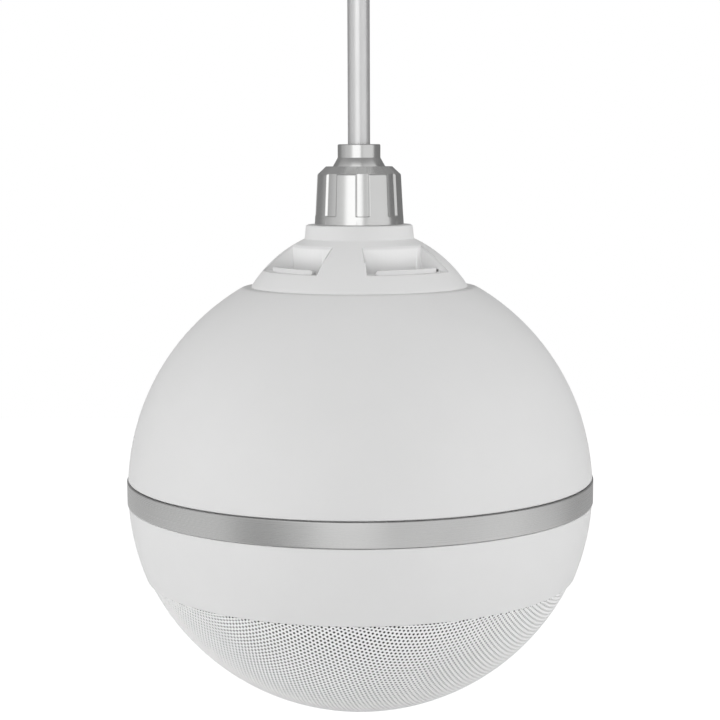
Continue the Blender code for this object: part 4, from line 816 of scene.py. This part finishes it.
windowTurns = [cap["windowTurn"] + 2 * math.pi * number / cap["windows"] for number in range(cap["windows"])]
floorLevel = capBase + cap["floorRise"]
barRadius = sphereLevel(capRadius, floorLevel - capMiddle) - cap["barInset"]
barMiddle = barRadius - cap["barWidth"] / 2

# the slot beside each bar's right end
slot = dict(length=0.0084, overlap=0.0035, depth=0.0032, height=0.0010)


def ringPrism(inner, outer, half, low, high, steps=40):
    return prism(arcPoints(outer, half, steps) + arcPoints(inner, half, steps)[::-1], low, high)


def windowCuts():
    # the window itself, the channel that the bar lies in and the slot
    side = cap["backRadius"] * math.sin(cap["halfAngle"])
    start = side - slot["overlap"]
    reach = cap["barWidth"] / 2 + cap["clearance"]
    half = cap["barHalf"] + cap["clearance"] / barRadius
    end = start + slot["length"]
    back = -cap["backRadius"] - slot["depth"]
    front = -cap["backRadius"] + 2 * cap["windowWall"]
    return [prism(windowOutline(), floorLevel, capTop),
            ringPrism(barMiddle - reach, barMiddle + reach, half, floorLevel - cap["barSink"] - seatGap,
                      floorLevel + cap["barHeight"]),
            prism([(start, back), (end, back), (end, front), (start, front)],
                  floorLevel - 2 * cap["windowWall"], floorLevel + slot["height"])]


def capHollow():
    # the cap's inside, less the walls round its windows
    collar = capTopRadius - cap["wall"]
    radius = capRadius - cap["wall"]
    below = capBase - cap["wall"]
    roof = capTop - cap["roof"]
    line = sphereLine(radius, capMiddle, capBase, capMiddle + sphereLevel(radius, collar), 12)
    outline = [(0.0, below), (line[0][0], below), *line, (collar, roof), (0.0, roof)]
    hollow = revolved("capHollow", outline, cap["hollowSides"])
    smooth(hollow)
    for turn in windowTurns:
        window = prism(windowOutline(cap["windowWall"], 12), floorLevel - cap["windowWall"], capTop)
        cut(hollow, turnForm(window, turn))
    form = bmesh.new()
    form.from_mesh(hollow.data)
    bmesh.ops.translate(form, verts=form.verts, vec=(0.0, 0.0, -ballMiddle))
    bpy.data.objects.remove(hollow)
    return form


def paintedRecessLightCoat(name, outer, inner):
    # moulded plastic with painted light: it turns paler between the first and the last depth below the cap's
    # outside, so that the window recesses look brighter than their shade gives
    first, last = 0.0003, 0.0012
    mottle = 0.05
    grainScale = 2000.0
    coat = Coat(name)
    place = coat.place()
    x, y, z = coat.parts(place)
    rise = z - (ballMiddle + capMiddle)
    sink = capRadius - (x * x + y * y + rise * rise) ** 0.5
    share = coat.ramp(sink, first, last) * (1.0 - mottle) + coat.noise(place, blotchScale, 3.0) * mottle
    grain = coat.noise(place, grainScale, 2.0)
    return coat.finish(**{
        # painted light: the deeper colour is paler, which brightens the walls inside the windows
        "Base Color": coat.tint(share, outer, inner),
        "Roughness": coat.spread(coat.noise(place, wearScale, 2.0), 0.45, 0.51),
        "Specular IOR Level": 0.2,
        "Normal": coat.bump(grain, 0.000006, coat.softEdges(0.00015))})


cut(topCap, capHollow())
for turn in windowTurns:
    for form in windowCuts():
        cut(topCap, turnForm(form, turn))
smooth(topCap, 30.0)
# the cap's white plastic, with painted light in its window recesses
capPaintedLightPlastic = paintedRecessLightCoat("whiteCapPaintedRecessLight", (0.72, 0.72, 0.719), (0.83, 0.83, 0.829))
dress(topCap, capPaintedLightPlastic, "white_plastic", "top_cap")


lock = dict(height=0.0022, edge=0.0003, sides=96, endSteps=10, middleSteps=40, legHalf=0.0009,
            legAngle=math.radians(8.0), legFoot=0.0020)


def lockBar(turn):
    # a bar with full-round ends and rounded edges
    halfHeight = cap["barHeight"] / 2
    endReach = halfHeight / barMiddle
    first = -cap["barHalf"] + endReach
    span = 2 * cap["barHalf"] - 2 * endReach
    quarters = [step / lock["endSteps"] * math.pi / 2 for step in range(lock["endSteps"] + 1)]
    ends = [(-cap["barHalf"] + endReach * (1 - math.cos(angle)), max(0.02, math.sin(angle)))
            for angle in quarters]
    middle = [(first + span * step / lock["middleSteps"], 1.0) for step in range(1, lock["middleSteps"])]
    stations = ends + middle + [(-angle, fullness) for angle, fullness in ends[::-1]]
    centre = floorLevel - cap["barSink"] + halfHeight
    inner = barRadius - cap["barWidth"]
    loops = []
    for angle, fullness in stations:
        tall = halfHeight * fullness
        edge = min(cap["barEdge"], 0.45 * tall)
        corners = rounded([(barRadius, -tall, edge), (barRadius, tall, edge), (inner, tall, edge),
                           (inner, -tall, edge)], 4)
        loops.append([(radius * math.sin(angle), -radius * math.cos(angle), centre + height)
                      for radius, height in corners])
    count = len(loops[0])
    last = (len(loops) - 1) * count
    verts = [point for loop in loops for point in loop]
    faces = [tuple(range(count))[::-1], tuple(last + place for place in range(count))]
    for start in range(0, last, count):
        for place in range(count):
            following = (place + 1) % count
            faces.append((start + place, start + following, start + count + following, start + count + place))
    turned = Matrix.Rotation(turn, 4, "Z")
    return [tuple(turned @ Vector(point) + Vector((0.0, 0.0, ballMiddle))) for point in verts], faces


lockTop = capBase + lock["height"]
outline = rounded([(lockInner, capBase, lock["edge"]), (lockRadius, capBase, lock["edge"]),
                   (lockRadius, lockTop, lock["edge"]), (lockInner, lockTop, lock["edge"])], 3)
lockRing = revolved("lockRing", outline, lock["sides"])
barVerts, barFaces = [], []
for turn in windowTurns:
    verts, faces = lockBar(turn)
    barFaces += [tuple(index + len(barVerts) for index in face) for face in faces]
    barVerts += verts
    leg = ringPrism(barMiddle - lock["legHalf"], barMiddle + lock["legHalf"], lock["legAngle"],
                    capBase + lock["legFoot"], floorLevel, 6)
    bmesh.ops.translate(leg, verts=leg.verts, vec=(0.0, 0.0, ballMiddle))
    turnForm(leg, turn)
    leg.verts.index_update()
    start = len(barVerts)
    barVerts += [tuple(vert.co) for vert in leg.verts]
    barFaces += [tuple(start + vert.index for vert in face.verts) for face in leg.faces]
    leg.free()
merge(lockRing, addMesh("bars", barVerts, barFaces))
smooth(lockRing, 35.0)
dress(lockRing, whitePlastic, "white_plastic", "lock_ring")
say("cap and lock ring are done")


# Cable gland

gland = dict(sides=128, footRadius=0.0185, taper=0.00112, side=0.0204, chamferWidth=0.00361, bore=0.0128,
             mouth=0.01126, topWall=0.0040, flutes=8, fluteTurn=math.radians(4.5), fluteDepth=0.00074,
             fluteFoot=0.0033, fluteWidth=0.0051, cornerRadius=0.0006, wallRun=0.0007, outerEdge=0.0003,
             innerEdge=0.0001, footLead=0.00004, footRun=0.00022, chamferEdge=0.0012, topEdge=0.0003)
sideTop = collarFoot + gland["side"]
collarTopRadius = gland["footRadius"] - gland["taper"]
fluteLevel = collarFoot + gland["fluteFoot"]


def sideRadius(level):
    return collarTopRadius + gland["taper"] * (sideTop - level) / gland["side"]


def collarLine():
    # the section has close levels where the flutes begin and even ones above
    rises = (-0.0006, -0.00012, -0.00002, 0.00005, 0.00012, 0.00022, 0.0004, 0.0006, 0.0008, 0.0010, 0.0012)
    levels = [fluteLevel + rise for rise in rises]
    levels += np.linspace(fluteLevel + 0.0014, sideTop - 0.0022, 16).tolist()
    side = [(sideRadius(level), level) for level in levels]
    innerTop = collarTop - gland["topWall"]
    bend = rounded([side[-1], (collarTopRadius, sideTop, gland["chamferEdge"]),
                    (collarTopRadius - gland["chamferWidth"], collarTop, gland["topEdge"]),
                    (gland["mouth"], collarTop, gland["topEdge"]), (gland["mouth"], innerTop)], 10)
    foot = collarFoot - footDrop
    outer = [(gland["footRadius"] - 0.0003, foot), (gland["footRadius"] - 0.0001, foot + 0.0001),
             (gland["footRadius"] - 0.00001, foot + 0.0003)]
    return outer + side[:-1] + bend + [(gland["bore"], innerTop), (gland["bore"], foot)]


def fluteSection(halfWidth):
    # lateral places and depth shares across one flute, from its left edge to its right one
    depth = gland["fluteDepth"]
    half = rounded([(-halfWidth - 0.0014, 0.0), (gland["wallRun"] / -2 - halfWidth, 0.0, gland["outerEdge"]),
                    (gland["wallRun"] / 2 - halfWidth, depth, gland["innerEdge"]), (0.0, depth)], 6)
    left = [(lateral, sink / depth) for lateral, sink in half]
    floor = [(left[-2][0] * (1 - step / 4), 1.0) for step in range(1, 4)]
    left = left[:-1] + floor + [(0.0, 1.0)]
    return left + [(-lateral, share) for lateral, share in left[-2::-1]]


def collarForm():
    line = collarLine()
    period = 2 * math.pi / gland["flutes"]
    corner = gland["cornerRadius"]
    verts = []
    for radius, level in line:
        inside = level < collarTop - 1e-6 and radius <= gland["bore"] + 1e-6
        above = level - fluteLevel
        halfWidth = gland["fluteWidth"] / 2
        if above < corner:
            halfWidth -= corner - math.sqrt(max(0.0, corner ** 2 - (corner - max(0.0, above)) ** 2))
        section = fluteSection(halfWidth)
        floorRadius = sideRadius(level) - gland["fluteDepth"]
        rise = min(1.0, max(0.0, (above + gland["footLead"]) / gland["footRun"]))
        depth = 0.0 if inside else max(0.0, radius - floorRadius) * rise * rise * (3 - 2 * rise)
        gap = period - 2 * abs(section[0][0]) / collarTopRadius
        row = []
        for number in range(gland["flutes"]):
            middle = gland["fluteTurn"] + period * number
            row += [(middle + lateral / collarTopRadius, radius - depth * sink) for lateral, sink in section]
            last = row[-1][0]
            row += [(last + gap * step / 5, radius) for step in range(1, 5)]
        height = level + ballMiddle
        verts += [(reach * math.sin(angle), -reach * math.cos(angle), height) for angle, reach in row]
    rows = len(line)
    columns = len(verts) // rows
    faces = []
    for near in range(rows):
        far = (near + 1) % rows
        for column in range(columns):
            following = (column + 1) % columns
            faces.append((near * columns + column, near * columns + following, far * columns + following,
                          far * columns + column))
    return addMesh("glandCollar", verts, faces)


glandCollar = collarForm()
smooth(glandCollar, 50.0)
dress(glandCollar, glandSilver, "silver", "gland_collar")

stem = dict(coneRadius=0.01086, coneHeight=0.0036, neckRadius=0.00885, bore=0.00495, lowBore=0.00435,
            boreDepth=0.0294, sealBore=0.00755, sealDepth=0.0055, radius=0.0090, flange=0.0124)
neckFoot = collarTop + stem["coneHeight"]
flangeTop = collarTop - gland["topWall"] - seatGap
flangeBase = spigotTop + seatGap
boreFoot = neckTop - stem["boreDepth"]
sealFoot = neckTop - stem["sealDepth"]
outline = rounded([
    (stem["neckRadius"], neckTop, 0.0005), (stem["neckRadius"], neckFoot, 0.0008),
    (stem["coneRadius"], collarTop), (stem["coneRadius"], flangeTop), (stem["flange"], flangeTop),
    (stem["flange"], flangeBase), (stem["radius"], flangeBase), (stem["radius"], stemEnd, 0.0004),
    (stem["lowBore"], stemEnd), (stem["lowBore"], boreFoot), (stem["bore"], boreFoot),
    (stem["bore"], sealFoot), (stem["sealBore"], sealFoot), (stem["sealBore"], neckTop, 0.0002)], 6)
glandStem = revolved("glandStem", outline, gland["sides"])
smooth(glandStem)
dress(glandStem, glandSilver, "silver", "gland_stem")
say("gland is done")


# Pieces that keep their CAD form

carried = {
    "rubber": rubber, "steel": steel, "board": board, "black_paper": blackPaper, "ferrite": ferrite,
    "copper": copper, "spider_cloth": spiderCloth, "nylon": nylon, "red_jacket": redJacket,
    "black_jacket": blackJacket, "white_plastic": whitePlastic, "white_paint": whitePaint, "silver": silver,
    "cable_grey": cableGrey, "black_cloth": blackCloth}
for part in frame["record"]["subparts"]:
    node = frame["nodes"][part["node"]]
    if node.hide_render:
        continue
    for item in node.material_slots:
        item.link = "OBJECT"
        item.material = carried[part["material_slot"]]
say("inner pieces have their materials")


# Stage and light

ground = dict(reach=6.0, drop=0.80, glow=0.75)
reach = ground["reach"]
floorMesh = addMesh("studioFloor", [(-reach, -reach, 0.0), (reach, -reach, 0.0), (reach, reach, 0.0),
                                    (-reach, reach, 0.0)], [(0, 1, 2, 3)])
floorMesh.location.z = cadLow.z - ground["drop"]
floorMesh.visible_glossy = False
floorCoat = Coat("floorPaint")
seen = floorCoat.node("ShaderNodeLightPath") * ground["glow"]
floorMesh.data.materials.append(floorCoat.finish(**{
    "Base Color": (0.88, 0.88, 0.88, 1.0), "Roughness": 0.9, "Specular IOR Level": 0.1,
    "Emission Color": floorCoat.join(seen, seen, seen), "Emission Strength": 1.0}))

world = bpy.data.worlds.new("studio")
bpy.context.scene.world = world
world.use_nodes = True

# what metal reflects is a room in steps of brightness by azimuth, which is 0 on the camera's side
# a step is its azimuth, the width over which it fades and the change of brightness
light = dict(ambient=0.37, behind=0.25, above=0.33, below=0.70,
             upperFade=(12.0, 50.0), lowerFade=(-1.0, -16.0),
             steps=((-110.0, 26.0, 0.22), (-80.0, 26.0, 0.17), (-54.0, 18.0, 0.10), (-37.0, 12.0, 0.60),
                    (9.5, 6.0, -0.80), (20.0, 6.0, 0.25), (86.0, 16.0, -0.58)),
             lowSteps=((-115.0, 30.0, 0.09), (-62.0, 20.0, -0.48), (-22.0, 16.0, 0.46), (62.0, 30.0, 0.13),
                       (115.0, 30.0, -0.36)))
sky = Shader(world.node_tree)
x, y, z = sky.parts(sky.node("ShaderNodeTexCoord"))
degree = 180.0 / math.pi
azimuth = sky.maths("ARCTAN2", x, y * -1.0) * degree
elevation = sky.maths("ARCSINE", z) * degree


def stepped(first, steps):
    return first + sum(change * sky.ramp(azimuth, edge - softness / 2, edge + softness / 2)
                       for edge, softness, change in steps)


upward = sky.ramp(elevation, *light["upperFade"])
downward = sky.ramp(elevation, *light["lowerFade"])
level = (stepped(light["behind"], light["steps"]) * (1.0 - upward) * (1.0 - downward)
         + upward * light["above"] + downward * stepped(light["below"], light["lowSteps"]))
rays = sky.tree.nodes.new("ShaderNodeLightPath").outputs
cameraRay, glossyRay = Value(sky, rays["Is Camera Ray"]), Value(sky, rays["Is Glossy Ray"])
strength = (light["ambient"] + glossyRay * (level - light["ambient"])) * (1.0 - cameraRay) + cameraRay
sky.show("ShaderNodeOutputWorld", sky.node("ShaderNodeBackground", None, {"Color": (1.0, 1.0, 1.0, 1.0),
                                                                          "Strength": strength}))


def softBox(name, azimuth, elevation, distance, size, share):
    # share is the part of white that the lamp alone gives a white surface that faces it
    lamp = bpy.data.lights.new(name, "AREA")
    lamp.shape = "DISK"
    lamp.size = size
    lamp.energy = share * (math.pi * distance) ** 2
    obj = bpy.data.objects.new(name, lamp)
    bpy.context.scene.collection.objects.link(obj)
    turn, lift = math.radians(azimuth), math.radians(elevation)
    aim = Vector((0.0, 0.0, ballMiddle))
    away = Vector((math.sin(turn) * math.cos(lift), -math.cos(turn) * math.cos(lift), math.sin(lift)))
    obj.location = aim + away * distance
    obj.rotation_euler = away.to_track_quat("Z", "Y").to_euler()
    obj.visible_glossy = False


softBox("keyLight", -12.0, 22.0, 1.9, 0.16, 0.14)
softBox("leftLight", -85.0, 18.0, 1.9, 1.0, 0.32)
softBox("leftFrontLight", -50.0, 14.0, 1.9, 1.0, 0.21)
softBox("rightFrontLight", 50.0, 14.0, 1.9, 1.0, 0.23)
softBox("rightLight", 85.0, 18.0, 1.9, 1.0, 0.33)
softBox("topLight", 0.0, 60.0, 1.9, 1.0, 0.03)
softBox("lowLight", 0.0, -60.0, 0.9, 0.6, 0.12)

scene = bpy.context.scene
scene.view_settings.view_transform = "Standard"

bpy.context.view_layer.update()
say("stage and light are set")
